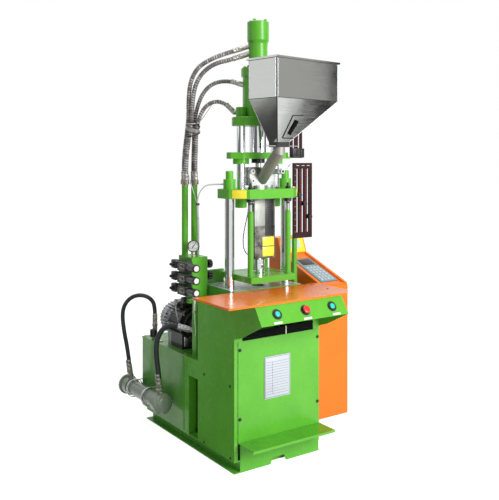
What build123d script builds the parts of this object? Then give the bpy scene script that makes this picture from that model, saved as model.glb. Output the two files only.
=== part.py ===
from build123d import *
import os
from math import cos, pi, radians, sin, tan

# Vertical injection moulding machine.
# Millimetres, +Z up, +X to the operator's right, -Y towards the operator.
# The origin lies on the floor under the injection axis.

# Base and cabinet
FLOOR_PLATE = 6.0
CHANNEL_H = 60.0
CHANNEL_W = 45.0
CHANNEL_T = 5.0
BASE_BACK = 680.0
CABINET_LEFT = -305.0
CABINET_RIGHT = 215.0
CABINET_FRONT = -237.0
WALL_BACK = 103.0
SHEET = 3.0
FLANGE = 20.0
PANEL_BOTTOM = 145.0
PANEL_TOP = 640.0
PLINTH_IN = 34.0
NOTCH_LEFT = -92.0
NOTCH_RIGHT = 4.0
NOTCH_H = 30.0
NOTCH_SLOPE = 12.0
CHUTE_MOUTH_H = 26.0
CHUTE_MOUTH_W = 250.0
TRAY_DEPTH = 130.0
TRAY_LIP = 12.0
SCREW_R = 4.0
SCREW_HEAD = 3.0
PANEL_SCREW_DROP = 55.0
PANEL_SCREW_PITCH = 330.0

# Operator's table and button box
TABLE_TOP = 832.0
TABLE_T = 10.0
TABLE_LEFT = -450.0
TABLE_RIGHT = 307.0
TABLE_FRONT = -412.0
TABLE_BACK = -97.0
TABLE_CORNER = 55.0
BOX_TOP_Y = -408.0
BOX_FOOT_Y = -462.0
BOX_FOOT_Z = 740.0
BOX_HEEL_Y = -305.0
BOX_HEEL_Z = 662.0
BUTTON_PITCH = 165.0
BUTTON_CENTRE_X = -35.0
BUTTON_R = 13.5
BUTTON_RING_R = 20.0
BUTTON_RING_T = 7.0
BUTTON_STAND = 9.0
BUTTON_STEM_R = 6.0
BUTTON_TRAVEL = 4.0
STOP_R = 19.0
STOP_STAND = 16.0
RUN = 0.3

# Fixed platen and clamp
BAR_PITCH = 356.0
PLATEN_TOP = 835.0
PLATEN_T = 75.0
PLATEN_HALF = BAR_PITCH / 2 + 35
PLATEN_FRONT = -95.0
PLATEN_BACK = 226.0
BEARER = 8.0
PORT_BLOCK_LEFT = -186.0
PORT_BLOCK_RIGHT = -85.0
PORT_BLOCK_FRONT = 199.0
PORT_BLOCK_H = 70.0
BAR_R = 25.0
SLIDE = 0.05
CROSSHEAD_TOP = 330.0
CROSSHEAD_T = 60.0
CROSSHEAD_END_R = 31.0
CLAMP_BORE_R = 65.0
CLAMP_WALL = 18.0
CLAMP_LENGTH = 250.0
CLAMP_COVER = 18.0
CLAMP_PISTON_T = 25.0
CLAMP_ROD_R = 30.0
CLAMP_REST_LIFT = 36.0

# Head plate, cage and mould plate
HEAD_BOTTOM = 1294.0
HEAD_T = 48.0
HEAD_HALF = BAR_PITCH / 2 + 41
HEAD_END_HALF = 52.0
HEAD_MID_HALF = 138.0
HEAD_MID_DEPTH = 125.0
CAP_FLANGE_R = 32.0
CAP_FLANGE_H = 50.0
CAP_R = 20.0
CAP_H = 42.0
MOULD_BOTTOM = 872.0
MOULD_T = 31.0
SPRUE_R = 9.0
POST_X = BAR_PITCH / 2 - 60
MOULD_HALF = POST_X + 23
POST_Y = 102.0
POST_R = 15.0
POST_ROD_R = 6.5
POST_TUBE_H = 320.0

# Injection unit
COLUMN_PITCH = BAR_PITCH - 140
COLUMN_R = 22.5
SOCKET_R = 30.0
SOCKET_H = 50.0
TOP_PLATE_BOTTOM = 1665.0
TOP_PLATE_T = 46.0
TOP_PLATE_HALF = COLUMN_PITCH / 2 + 42
TOP_PLATE_R = 75.0
TOP_NUT_R = 26.0
TOP_NUT_H = 51.0
CYLINDER_R = COLUMN_PITCH / 2 - 27
CYLINDER_BORE_R = CYLINDER_R - 19
CYLINDER_H = 213.0
NECK_FLANGE_R = CYLINDER_R + 8
NECK_FLANGE_T = 46.0
MOTOR_R = 49.5
MOTOR_H = 142.0
MOTOR_CAP_R = 57.0
MOTOR_CAP_H = 100.0
MOTOR_CHAMFER = 16.0
CAP_BOLT_R = 5.0
CAP_BOLT_H = 10.0
CAP_BOLT_PCD = 84.0
RAM_R = CYLINDER_BORE_R - 14.5
PISTON_T = 40.0
PLATE_BOTTOM = 1496.0
PLATE_T = 33.0
PLATE_HALF = COLUMN_PITCH / 2 + 75
PLATE_END_HALF = 20.0
PLATE_MID_HALF = 75.0
PLATE_MID_DEPTH = 62.0
PLATE_TONGUE_L = 20.0
PLATE_TONGUE_T = 12.0
BUSH_R = 42.0
BUSH_H = 27.0
COUPLING_R = 35.0
COUPLING_H = 22.0
FEED_TOP = 1453.0
FEED_HALF = 80.0
FEED_DEPTH = 35.0
FEED_FLANGE_H = 16.0
FEED_FLANGE_R = 44.0
BARREL_R = 28.0
BARREL_BORE_R = 15.0
SCREW_CLEAR = 0.08
FLIGHT_DEPTH = 3.0
FLIGHT_LAND = 4.0
FLIGHT_PITCH = 30.0
NOZZLE_L = 60.0
BAND_R = 32.0
BAND_H = 55.0
BAND_GAP = 18.0
GUARD_LEFT = -58.0
GUARD_RIGHT = 72.0
GUARD_DEPTH = 52.0
GUARD_BOTTOM = 981.0
GUARD_T = 1.5

# Hopper and feed tube
HOPPER_TURN = 8.0
HOPPER_W = 440.0
HOPPER_D = 208.0
HOPPER_T = 2.0
HOPPER_LIP = 8.0
RIM_Z = 1992.0
WALL_FOOT_Z = 1791.0
OUTLET_Z = 1579.0
OUTLET_W = 84.0
OUTLET_D = 60.0
OUTLET_IN_W = 57.0
OUTLET_IN_D = 76.0
OUTLET_X = -25.0
OUTLET_Y = -217.0
COLLAR_H = 25.0
COLLAR_WALL = 6.0
GATE_T = 4.0
GATE_W = 51.0
GATE_L = 205.0
GATE_SHIFT = 10.0
FEED_TUBE_R = 30.0
FEED_TUBE_WALL = 2.5
FEED_TUBE_DROP = 24.0
FEED_MOUTH_Z = 1398.0
FEED_MOUTH_X = 6.0
FEED_MOUTH_R = 22.0

# Limit racks
RACK_LEFT = BAR_PITCH / 2 + 53
RACK_W = 128.0
RACK_BOTTOM = 1065.0
RACK_TOP = 1473.0
RACK_T = 12.0
RACK_BAR = 28.0
RACK_SLOTS = 3
RACK_SLOT_W = 15.0
RACK_SLOT_PITCH = 36.0
RACK_POST = 20.0
SLIDER_R = 8.0
SLIDER_HEIGHTS = (1300.0, 1252.0, 1180.0)
INJ_RACK_X = BAR_PITCH / 2 + 34
INJ_RACK_W = 78.0
INJ_RACK_BOTTOM = 1500.0
INJ_RACK_TOP = 1660.0
INJ_RACK_FOOT = 50.0

# Hydraulics on the left side
TANK_FRONT = 240.0
TANK_BACK = 745.0
TANK_TOP = 462.0
TANK_BOTTOM = 66.0
TANK_LIP = 6.0
FRAME_POST = 45.0
RAIL_H = 95.0
BREATHER_R = 20.0
BREATHER_H = 60.0
BREATHER_FOOT = 18.0
BREATHER_NECK_R = 11.0
BREATHER_NECK_H = 48.0
BREATHER_X = -288.0
BREATHER_Y = 629.0
COOLER_X = -372.0
COOLER_Z = 183.0
COOLER_FRONT = 345.0
COOLER_BACK = 808.0
COOLER_R = 40.0
COOLER_HEAD_R = 56.0
COOLER_NECK_R = 48.0
COOLER_HEAD_L = 80.0
COOLER_RING_T = 14.0
COOLER_FRONT_PORT = 386.0
COOLER_BACK_PORT = 750.0
STRAP_Y = (520.0, 700.0)
STRAP_W = 16.0
STRAP_T = 3.0
STRAP_TOP = COOLER_Z + COOLER_R
STRAP_FOOT = COOLER_Z - COOLER_R + 5
MOTOR_X = -200.0
MOTOR_Z = 598.0
MOTOR_FRONT = 345.0
MOTOR_BODY_L = 160.0
MOTOR_BODY_R = 84.0
MOTOR_FINS = 20
MOTOR_PLATE_T = 12.0
FIN_H = 10.0
FIN_T = 4.0
COWL_L = 55.0
PUMP_R = 48.0
PUMP_L = 75.0
BELL_L = 30.0
BLOCK_LEFT = -312.0
BLOCK_RIGHT = -216.0
BLOCK_FRONT = 150.0
BLOCK_BACK = 292.0
BLOCK_BOTTOM = 780.0
BLOCK_TOP = 985.0
COLUMN_FOOT_Y = 196.0
COLUMN_FOOT_D = 42.0
COLUMN_FOOT_W = 50.0
COLUMN_PLATE_T = 12.0
COLUMN_IN = 38.0
COLUMN_AHEAD = 8.0
LUG_H = 40.0
VALVE_PITCH = 62.0
VALVE_TOP_Z = 940.0
VALVE_SIZE = 46.0
VALVE_BODY_L = 76.0
VALVE_FRONT = 70.0
VALVE_BACK = 292.0
RELIEF_R = 23.0
RELIEF_L = 34.0
STAR_R = 17.0
STAR_L = 30.0
RISER_R = 17.0
RISER_XY = ((-290.0, 262.0), (-240.0, 250.0))
RISER_TOP = 1360.0
RISER_CAP = 24.0
HOSE_PAIR = 24.0
GAUGE_R = 30.0
GAUGE_T = 26.0
GAUGE_X = -291.0
GAUGE_Y = 172.0
GAUGE_Z = 1042.0
GAUGE_TURN = 25.0

# Electrical cabinet
ELEC_LEFT = 312.0
ELEC_RIGHT = 497.0
ELEC_FRONT = -142.0
ELEC_BACK = 330.0
ELEC_BOTTOM = 112.0
ELEC_LIP = 812.0
DESK_Y = 210.0
DESK_Z = 944.0
CREST_Y = 247.0
CREST_Z = 1040.0
DOOR_GAP = 0.3
DOOR_MARGIN = 30.0
HINGE_R = 4.5
HINGE_OUT = 7.5
HINGE_L = 60.0
BRACKET = 40.0
BRACKET_Z = (230.0, 690.0)
BRACKET_Y = 20.0

# Hoses
HOSE_D = 22.0
COOLER_HOSE_D = 20.0
TUBE_D = 6.0
CABLE_D = 5.0
FITTING_R = 14.0
ELBOW_Z = 1740.0
ELBOW_REACH = 130.0
FIRST_RISE_A = 106.0
FIRST_RISE_C = 96.0
FIRST_RISE_D = 91.0
WAY_A = ((-289, 250, 1600), (-287, 228, 1711), (-295, 214, 1815), (-292, 200, 1905), (-262, 170, 1978),
         (-200, 122, 2022))
WAY_B = ((-288, 226, 1600), (-281, 204, 1708), (-284, 191, 1808), (-274, 175, 1893), (-238, 146, 1958),
         (-186, 112, 1996))
WAY_C = ((-248, 240, 1575), (-259, 219, 1675), (-254, 196, 1770), (-232, 168, 1848), (-190, 130, 1895))
WAY_D = ((-250, 214, 1563), (-262, 190, 1643), (-258, 168, 1712), (-236, 146, 1768), (-198, 122, 1796))
PORT_A = ((156.0, 2050.0), (94.0, 2070.0))
PORT_B = ((156.0, 2010.0), (94.0, 2030.0))
PORT_C = ((153.0, 1904.0), (105.0, 1890.0))
PORT_D = ((176.0, 1790.0), (140.0, 1754.0))
PORT_STUBS = (55.0, 55.0, 36.0)
COOLER_STUB = 62.0
PUMP_STUB = 60.0

os.makedirs("parts", exist_ok=True)

HEAD_TOP = HEAD_BOTTOM + HEAD_T
MOULD_TOP = MOULD_BOTTOM + MOULD_T
TOP_PLATE_TOP = TOP_PLATE_BOTTOM + TOP_PLATE_T
CYLINDER_TOP = TOP_PLATE_TOP + CYLINDER_H
NECK_TOP = CYLINDER_TOP + NECK_FLANGE_T
MOTOR_TOP = NECK_TOP + MOTOR_H
PLATEN_BOTTOM = PLATEN_TOP - PLATEN_T
PLATE_TOP = PLATE_BOTTOM + PLATE_T
BAR_X = BAR_PITCH / 2
COLUMN_X = COLUMN_PITCH / 2
CABINET_W = CABINET_RIGHT - CABINET_LEFT
INNER_RIGHT = CABINET_RIGHT - SHEET
CABINET_MID = (CABINET_LEFT + CABINET_RIGHT) / 2
TABLE_BOTTOM = TABLE_TOP - TABLE_T


def span_box(low, high, mode=Mode.ADD):
    """A block between two corners, in the part that is being built."""
    size = [b - a for a, b in zip(low, high)]
    centre = [(a + b) / 2 for a, b in zip(low, high)]
    with Locations(tuple(centre)):
        Box(*size, mode=mode)


def rod(x, y, bottom, top, radius, mode=Mode.ADD):
    """An upright round bar at x, y."""
    with BuildSketch(Plane.XY.offset(bottom)) as section:
        with Locations((x, y)):
            Circle(radius)
    extrude(section.sketch, amount=top - bottom, mode=mode)


def stub(start, end, radius, mode=Mode.ADD):
    """A round bar from one point to another."""
    axis = Vector(*end) - Vector(*start)
    with BuildSketch(Plane(origin=start, z_dir=axis)) as section:
        Circle(radius)
    extrude(section.sketch, amount=axis.length, mode=mode)


def finish(part, name):
    """Label a finished piece and write it to its own file."""
    part.label = name
    export_step(part, f"parts/{name}.step")


# Welded base: two channels, cross members, floor plate, plinth and foot tray
def side_channel(left, web_shift):
    """A base channel along Y, its open side away from the web."""
    with BuildSketch(Plane.XZ.offset(-BASE_BACK)) as section:
        with Locations((left + CHANNEL_W / 2, CHANNEL_H / 2)):
            Rectangle(CHANNEL_W, CHANNEL_H)
        with Locations((left + CHANNEL_W / 2 - web_shift, CHANNEL_H / 2)):
            Rectangle(CHANNEL_W, CHANNEL_H - 2 * CHANNEL_T, mode=Mode.SUBTRACT)
    extrude(section.sketch, amount=BASE_BACK - CABINET_FRONT)


with BuildPart() as base_frame:
    side_channel(CABINET_LEFT, CHANNEL_T)
    side_channel(CABINET_RIGHT - CHANNEL_W, -CHANNEL_T)
    for y in (CABINET_FRONT + PLINTH_IN, WALL_BACK, BASE_BACK - CHANNEL_W):
        span_box((CABINET_LEFT + CHANNEL_W, y, 0), (CABINET_RIGHT - CHANNEL_W, y + CHANNEL_W, CHANNEL_H))
    span_box((CABINET_LEFT + CHANNEL_W, CABINET_FRONT + PLINTH_IN, 0),
             (CABINET_RIGHT - CHANNEL_W, BASE_BACK, FLOOR_PLATE))
    with BuildSketch(Plane.XZ.offset(-CABINET_FRONT)):
        with BuildLine():
            Polyline((CABINET_LEFT + PLINTH_IN, 0), (NOTCH_LEFT, 0), (NOTCH_LEFT + NOTCH_SLOPE, NOTCH_H),
                     (NOTCH_RIGHT - NOTCH_SLOPE, NOTCH_H), (NOTCH_RIGHT, 0), (INNER_RIGHT, 0),
                     (INNER_RIGHT, PANEL_BOTTOM - SHEET), (CABINET_LEFT + PLINTH_IN, PANEL_BOTTOM - SHEET),
                     close=True)
        make_face()
        with Locations((CABINET_MID, PANEL_BOTTOM - SHEET - CHUTE_MOUTH_H)):
            Rectangle(CHUTE_MOUTH_W, CHUTE_MOUTH_H, mode=Mode.SUBTRACT)
    extrude(amount=-SHEET)
    span_box((CABINET_LEFT + FLANGE, CABINET_FRONT - TRAY_DEPTH, PANEL_BOTTOM - SHEET),
             (INNER_RIGHT, CABINET_FRONT + SHEET, PANEL_BOTTOM))
    span_box((CABINET_LEFT + FLANGE, CABINET_FRONT - TRAY_DEPTH, PANEL_BOTTOM - TRAY_LIP),
             (INNER_RIGHT, CABINET_FRONT - TRAY_DEPTH + SHEET, PANEL_BOTTOM))
finish(base_frame.part, "base_frame")

# Cabinet: side walls carry the button box's cheeks, with flanges and a top frame
def side_profile():
    """Outline of a side wall in the YZ plane, with the cheek of the button box."""
    with BuildLine() as outline:
        Polyline((WALL_BACK, CHANNEL_H), (CABINET_FRONT, CHANNEL_H), (CABINET_FRONT, PANEL_TOP),
                 (BOX_HEEL_Y, BOX_HEEL_Z), (BOX_FOOT_Y, BOX_FOOT_Z), (BOX_TOP_Y, TABLE_BOTTOM),
                 (TABLE_BACK, TABLE_BOTTOM), (TABLE_BACK, PLATEN_BOTTOM), (WALL_BACK, PLATEN_BOTTOM),
                 close=True)
    make_face(outline.edges())


with BuildPart() as cabinet_shell:
    for x in (CABINET_LEFT, CABINET_RIGHT - SHEET):
        with BuildSketch(Plane.YZ.offset(x)):
            side_profile()
        extrude(amount=SHEET)
    span_box((CABINET_LEFT, CABINET_FRONT, CHANNEL_H),
             (CABINET_LEFT + FLANGE, CABINET_FRONT + SHEET, PANEL_TOP))
    span_box((CABINET_LEFT, WALL_BACK - SHEET, CHANNEL_H), (CABINET_RIGHT, WALL_BACK, PLATEN_BOTTOM))
    for left, right in ((CABINET_LEFT, -PLATEN_HALF + BEARER), (PLATEN_HALF - BEARER, CABINET_RIGHT)):
        span_box((left, TABLE_BACK, PLATEN_BOTTOM - SHEET), (right, WALL_BACK, PLATEN_BOTTOM))
    span_box((CABINET_LEFT, TABLE_BACK - SHEET, PLATEN_BOTTOM - FLANGE),
             (CABINET_RIGHT, TABLE_BACK, TABLE_BOTTOM))
    span_box((CABINET_LEFT, CABINET_FRONT, TABLE_BOTTOM - SHEET), (CABINET_RIGHT, TABLE_BACK, TABLE_BOTTOM))
    for x in (CABINET_LEFT, CABINET_RIGHT - FRAME_POST):
        span_box((x, TANK_FRONT - FRAME_POST, CHANNEL_H), (x + FRAME_POST, TANK_FRONT, TANK_TOP - RAIL_H))
        span_box((x, WALL_BACK, TANK_TOP - RAIL_H), (x + FRAME_POST, TANK_FRONT, TANK_TOP))
finish(cabinet_shell.part, "cabinet_shell")

# Front service panel with its four corner screws
with BuildPart() as front_panel:
    span_box((CABINET_LEFT + FLANGE, CABINET_FRONT, PANEL_BOTTOM),
             (INNER_RIGHT, CABINET_FRONT + SHEET, PANEL_TOP))
    with BuildSketch(Plane.XZ.offset(-CABINET_FRONT)):
        with Locations((CABINET_MID + FLANGE / 2, PANEL_TOP - PANEL_SCREW_DROP - PANEL_SCREW_PITCH / 2)):
            with GridLocations(CABINET_W - 2 * FLANGE - SHEET, PANEL_SCREW_PITCH, 2, 2):
                Circle(SCREW_R)
    extrude(amount=SCREW_HEAD)
finish(front_panel.part, "front_panel")

# Sloping button panel
PANEL_DIR = Vector(0, BOX_TOP_Y - BOX_FOOT_Y, TABLE_BOTTOM - BOX_FOOT_Z).normalized()
PANEL_NORMAL = Vector(1, 0, 0).cross(PANEL_DIR)
PANEL_MID = Vector(BUTTON_CENTRE_X, (BOX_TOP_Y + BOX_FOOT_Y) / 2, (TABLE_BOTTOM + BOX_FOOT_Z) / 2)


def panel_plane(offset_x, stand):
    """The button panel's own plane at one button, raised by stand along its normal."""
    origin = PANEL_MID + Vector(offset_x, 0, 0) + PANEL_NORMAL * stand
    return Plane(origin=origin, x_dir=(1, 0, 0), z_dir=PANEL_NORMAL)


with BuildPart() as button_panel:
    with BuildSketch(Plane.YZ.offset(CABINET_LEFT + SHEET)):
        with BuildLine():
            Polyline((BOX_TOP_Y, TABLE_BOTTOM), (BOX_FOOT_Y, BOX_FOOT_Z),
                     (BOX_FOOT_Y + 8 * SHEET, BOX_FOOT_Z - SHEET),
                     (BOX_FOOT_Y + 8 * SHEET, BOX_FOOT_Z), (BOX_FOOT_Y + 1.6 * SHEET, BOX_FOOT_Z + SHEET),
                     (BOX_TOP_Y + 1.2 * SHEET, TABLE_BOTTOM), close=True)
        make_face()
    extrude(amount=CABINET_W - 2 * SHEET)
    for k in (-1, 0, 1):
        with BuildSketch(panel_plane(k * BUTTON_PITCH, -4 * SHEET)):
            Circle(BUTTON_STEM_R + RUN)
        extrude(amount=5 * SHEET, mode=Mode.SUBTRACT)
finish(button_panel.part, "button_panel")

with BuildPart() as button_rings:
    for k in (-1, 0, 1):
        with BuildSketch(panel_plane(k * BUTTON_PITCH, 0)):
            Circle(BUTTON_RING_R)
            Circle(BUTTON_R + RUN, mode=Mode.SUBTRACT)
        extrude(amount=BUTTON_RING_T)
finish(button_rings.part, "button_rings")


def push_button(offset_x, cap_r, stand, foot):
    """A round push cap on its stem, in the panel's plane."""
    with BuildSketch(panel_plane(offset_x, foot)) as cap:
        Circle(cap_r)
    extrude(cap.sketch, amount=stand - foot)
    fillet(edges().filter_by(GeomType.CIRCLE).sort_by(lambda e: e.center().dot(PANEL_NORMAL))[-1], 3)
    with BuildSketch(panel_plane(offset_x, -6 * SHEET)) as stem:
        Circle(BUTTON_STEM_R)
    extrude(stem.sketch, amount=6 * SHEET + foot)


for k, name in ((-1, "start_button_left"), (1, "start_button_right")):
    with BuildPart() as button:
        push_button(k * BUTTON_PITCH, BUTTON_R, BUTTON_STAND, BUTTON_TRAVEL + RUN)
    finish(button.part, name)

with BuildPart() as stop_button:
    push_button(0, BUTTON_R, BUTTON_RING_T + BUTTON_TRAVEL + 1, BUTTON_TRAVEL + RUN)
    with BuildSketch(panel_plane(0, BUTTON_RING_T + BUTTON_TRAVEL + RUN)):
        Circle(STOP_R)
    extrude(amount=STOP_STAND - BUTTON_RING_T)
    top_rim = edges().filter_by(GeomType.CIRCLE).sort_by(lambda e: e.center().dot(PANEL_NORMAL))[-1]
    fillet(top_rim, (STOP_STAND - BUTTON_RING_T) * 0.6)
finish(stop_button.part, "stop_button")

# Sheet table with one cut corner
with BuildPart() as table_top:
    with BuildSketch(Plane.XY.offset(TABLE_BOTTOM)):
        with BuildLine():
            Polyline((TABLE_LEFT, TABLE_FRONT), (TABLE_RIGHT - TABLE_CORNER, TABLE_FRONT),
                     (TABLE_RIGHT, TABLE_FRONT + TABLE_CORNER), (TABLE_RIGHT, TABLE_BACK),
                     (TABLE_LEFT, TABLE_BACK), close=True)
        make_face()
    extrude(amount=TABLE_T)
    fillet(edges().filter_by(Axis.Z), 6)
finish(table_top.part, "table_top")

# Fixed platen, bored for the two tie bars and the clamp rod, with a raised rear block
with BuildPart() as fixed_platen:
    span_box((-PLATEN_HALF, PLATEN_FRONT, PLATEN_BOTTOM), (PLATEN_HALF, PLATEN_BACK, PLATEN_TOP))
    chamfer(edges().filter_by(Axis.Z), 6)
    span_box((PORT_BLOCK_LEFT, PORT_BLOCK_FRONT, PLATEN_TOP),
             (PORT_BLOCK_RIGHT, PLATEN_BACK - BEARER, PLATEN_TOP + PORT_BLOCK_H))
    for x in (-BAR_X, BAR_X):
        rod(x, 0, PLATEN_BOTTOM, PLATEN_TOP, BAR_R + SLIDE, Mode.SUBTRACT)
    rod(0, 0, PLATEN_BOTTOM, PLATEN_TOP, 4 * SPRUE_R, Mode.SUBTRACT)
finish(fixed_platen.part, "fixed_platen")

# Clamp cylinder hung under the platen
CLAMP_TOP = PLATEN_BOTTOM
CLAMP_BOTTOM = CLAMP_TOP - CLAMP_LENGTH
with BuildPart() as clamp_cylinder:
    rod(0, 0, CLAMP_BOTTOM, CLAMP_TOP, CLAMP_BORE_R + CLAMP_WALL)
    rod(0, 0, CLAMP_BOTTOM + CLAMP_COVER, CLAMP_TOP - CLAMP_COVER, CLAMP_BORE_R, Mode.SUBTRACT)
    rod(0, 0, CLAMP_BOTTOM, CLAMP_BOTTOM + CLAMP_COVER, CLAMP_ROD_R + SLIDE, Mode.SUBTRACT)
finish(clamp_cylinder.part, "clamp_cylinder")

# Tie bars, crosshead with the clamp rod, caps and nuts
CAP_TOP = HEAD_TOP + CAP_FLANGE_H + CAP_H
with BuildPart() as tie_bars:
    for x in (-BAR_X, BAR_X):
        rod(x, 0, CROSSHEAD_TOP - CROSSHEAD_T, HEAD_TOP + CAP_FLANGE_H, BAR_R)
finish(tie_bars.part, "tie_bars")

with BuildPart() as clamp_crosshead:
    with BuildSketch(Plane.XY.offset(CROSSHEAD_TOP - CROSSHEAD_T)):
        SlotOverall(BAR_PITCH + 2 * CROSSHEAD_END_R, 2 * CROSSHEAD_END_R)
        Circle(2 * CROSSHEAD_END_R)
        with Locations((-BAR_X, 0), (BAR_X, 0)):
            Circle(BAR_R + SLIDE, mode=Mode.SUBTRACT)
    extrude(amount=CROSSHEAD_T)
    piston_foot = CLAMP_BOTTOM + CLAMP_COVER + CLAMP_REST_LIFT
    rod(0, 0, CROSSHEAD_TOP, piston_foot, CLAMP_ROD_R)
    rod(0, 0, piston_foot, piston_foot + CLAMP_PISTON_T, CLAMP_BORE_R - SLIDE)
finish(clamp_crosshead.part, "clamp_crosshead")


def long_octagon(half, end_half, mid_half, mid_depth):
    """A plate outline with narrow ends and a deeper middle."""
    with BuildLine() as outline:
        Polyline((-half, -end_half), (-mid_half, -mid_depth), (mid_half, -mid_depth), (half, -end_half),
                 (half, end_half), (mid_half, mid_depth), (-mid_half, mid_depth), (-half, end_half),
                 close=True)
    make_face(outline.edges())


with BuildPart() as head_plate:
    with BuildSketch(Plane.XY.offset(HEAD_BOTTOM)):
        long_octagon(HEAD_HALF, HEAD_END_HALF, HEAD_MID_HALF, HEAD_MID_DEPTH)
        with Locations((-BAR_X, 0), (BAR_X, 0)):
            Circle(BAR_R + SLIDE, mode=Mode.SUBTRACT)
        with Locations((-COLUMN_X, 0), (COLUMN_X, 0)):
            Circle(COLUMN_R + SLIDE, mode=Mode.SUBTRACT)
        Circle(FEED_FLANGE_R, mode=Mode.SUBTRACT)
    extrude(amount=HEAD_T)
    chamfer(edges().filter_by(Axis.Z).filter_by(lambda e: e.center().X ** 2 > HEAD_MID_HALF ** 2), 3)
finish(head_plate.part, "head_plate")

with BuildPart() as column_caps:
    for x in (-BAR_X, BAR_X):
        rod(x, 0, HEAD_TOP, HEAD_TOP + CAP_FLANGE_H, CAP_FLANGE_R)
        rod(x, 0, HEAD_TOP + CAP_FLANGE_H, CAP_TOP, CAP_R)
        rod(x, 0, HEAD_TOP, HEAD_TOP + CAP_FLANGE_H, BAR_R + SLIDE, Mode.SUBTRACT)
    for x in (-COLUMN_X, COLUMN_X):
        rod(x, 0, HEAD_BOTTOM - SOCKET_H, HEAD_BOTTOM, SOCKET_R)
        rod(x, 0, HEAD_BOTTOM - SOCKET_H + COLUMN_R, HEAD_BOTTOM, COLUMN_R + SLIDE, Mode.SUBTRACT)
        rod(x, 0, TOP_PLATE_TOP, TOP_PLATE_TOP + TOP_NUT_H, TOP_NUT_R)
        rod(x, 0, TOP_PLATE_TOP, TOP_PLATE_TOP + TOP_NUT_H - COLUMN_R, COLUMN_R + SLIDE, Mode.SUBTRACT)
    chamfer(edges().filter_by(GeomType.CIRCLE).filter_by(lambda e: e.center().Z in
            (CAP_TOP, TOP_PLATE_TOP + TOP_NUT_H, HEAD_BOTTOM - SOCKET_H)), 3)
finish(column_caps.part, "column_caps")

# Mould plate and the four cage posts that hang it from the head plate
with BuildPart() as mould_plate:
    with BuildSketch(Plane.XY.offset(MOULD_BOTTOM)):
        Rectangle(2 * MOULD_HALF, 2 * MOULD_HALF)
        Circle(SPRUE_R, mode=Mode.SUBTRACT)
    extrude(amount=MOULD_T)
    chamfer(edges().filter_by(Axis.Z).filter_by(GeomType.LINE), 3)
finish(mould_plate.part, "mould_plate")

with BuildPart() as cage_posts:
    with BuildSketch(Plane.XY.offset(MOULD_TOP)):
        with GridLocations(2 * POST_X, 2 * POST_Y, 2, 2):
            Circle(POST_R)
    extrude(amount=POST_TUBE_H)
    chamfer(edges().filter_by(GeomType.CIRCLE).group_by(Axis.Z)[-1], 2)
    with BuildSketch(Plane.XY.offset(MOULD_TOP + POST_TUBE_H)):
        with GridLocations(2 * POST_X, 2 * POST_Y, 2, 2):
            Circle(POST_ROD_R)
    extrude(amount=HEAD_BOTTOM - MOULD_TOP - POST_TUBE_H)
    with BuildSketch(Plane.XY.offset(HEAD_BOTTOM - 3 * POST_ROD_R)):
        with GridLocations(2 * POST_X, 2 * POST_Y, 2, 2):
            RegularPolygon(3 * POST_ROD_R, 6)
    extrude(amount=3 * POST_ROD_R)
finish(cage_posts.part, "cage_posts")

# Guide columns and the top plate
with BuildPart() as guide_columns:
    for x in (-COLUMN_X, COLUMN_X):
        rod(x, 0, HEAD_BOTTOM - SOCKET_H + COLUMN_R, TOP_PLATE_TOP + TOP_NUT_H - COLUMN_R, COLUMN_R)
finish(guide_columns.part, "guide_columns")

with BuildPart() as top_plate:
    with BuildSketch(Plane.XY.offset(TOP_PLATE_BOTTOM)):
        SlotOverall(2 * TOP_PLATE_HALF, 2 * TOP_PLATE_R)
        with Locations((-COLUMN_X, 0), (COLUMN_X, 0)):
            Circle(COLUMN_R + SLIDE, mode=Mode.SUBTRACT)
        Circle(RAM_R + SLIDE, mode=Mode.SUBTRACT)
    extrude(amount=TOP_PLATE_T)
    chamfer(faces().filter_by(Axis.Z).sort_by(Axis.Z)[-1].outer_wire().edges(), 3)
finish(top_plate.part, "top_plate")

# Injection cylinder with the screw's hydraulic motor bolted on top
PORT_DIR = Vector(-0.85, 0.53, 0).normalized()
with BuildPart() as injection_cylinder:
    with BuildSketch(Plane.XZ):
        with BuildLine():
            Polyline((0, CYLINDER_TOP), (CYLINDER_BORE_R, CYLINDER_TOP), (CYLINDER_BORE_R, TOP_PLATE_TOP),
                     (CYLINDER_R, TOP_PLATE_TOP), (CYLINDER_R, CYLINDER_TOP), (NECK_FLANGE_R, CYLINDER_TOP),
                     (NECK_FLANGE_R, NECK_TOP - 4), (NECK_FLANGE_R - 4, NECK_TOP), (MOTOR_R, NECK_TOP),
                     (MOTOR_R, MOTOR_TOP - MOTOR_CHAMFER), (MOTOR_CAP_R, MOTOR_TOP),
                     (MOTOR_CAP_R, MOTOR_TOP + MOTOR_CAP_H - 4), (MOTOR_CAP_R - 4, MOTOR_TOP + MOTOR_CAP_H),
                     (0, MOTOR_TOP + MOTOR_CAP_H), close=True)
        make_face()
    revolve(axis=Axis.Z)
    with BuildSketch(Plane.XY.offset(MOTOR_TOP + MOTOR_CAP_H)):
        with PolarLocations(CAP_BOLT_PCD / 2, 4, start_angle=30):
            RegularPolygon(CAP_BOLT_R * 1.6, 6)
    extrude(amount=CAP_BOLT_H)
finish(injection_cylinder.part, "injection_cylinder")

# Ram and piston of the injection cylinder
with BuildPart() as piston_rod:
    rod(0, 0, PLATE_TOP, TOP_PLATE_TOP + PISTON_T / 2, RAM_R)
    rod(0, 0, TOP_PLATE_TOP + PISTON_T / 2, TOP_PLATE_TOP + PISTON_T * 1.5, CYLINDER_BORE_R - SLIDE)
finish(piston_rod.part, "piston_rod")

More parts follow.
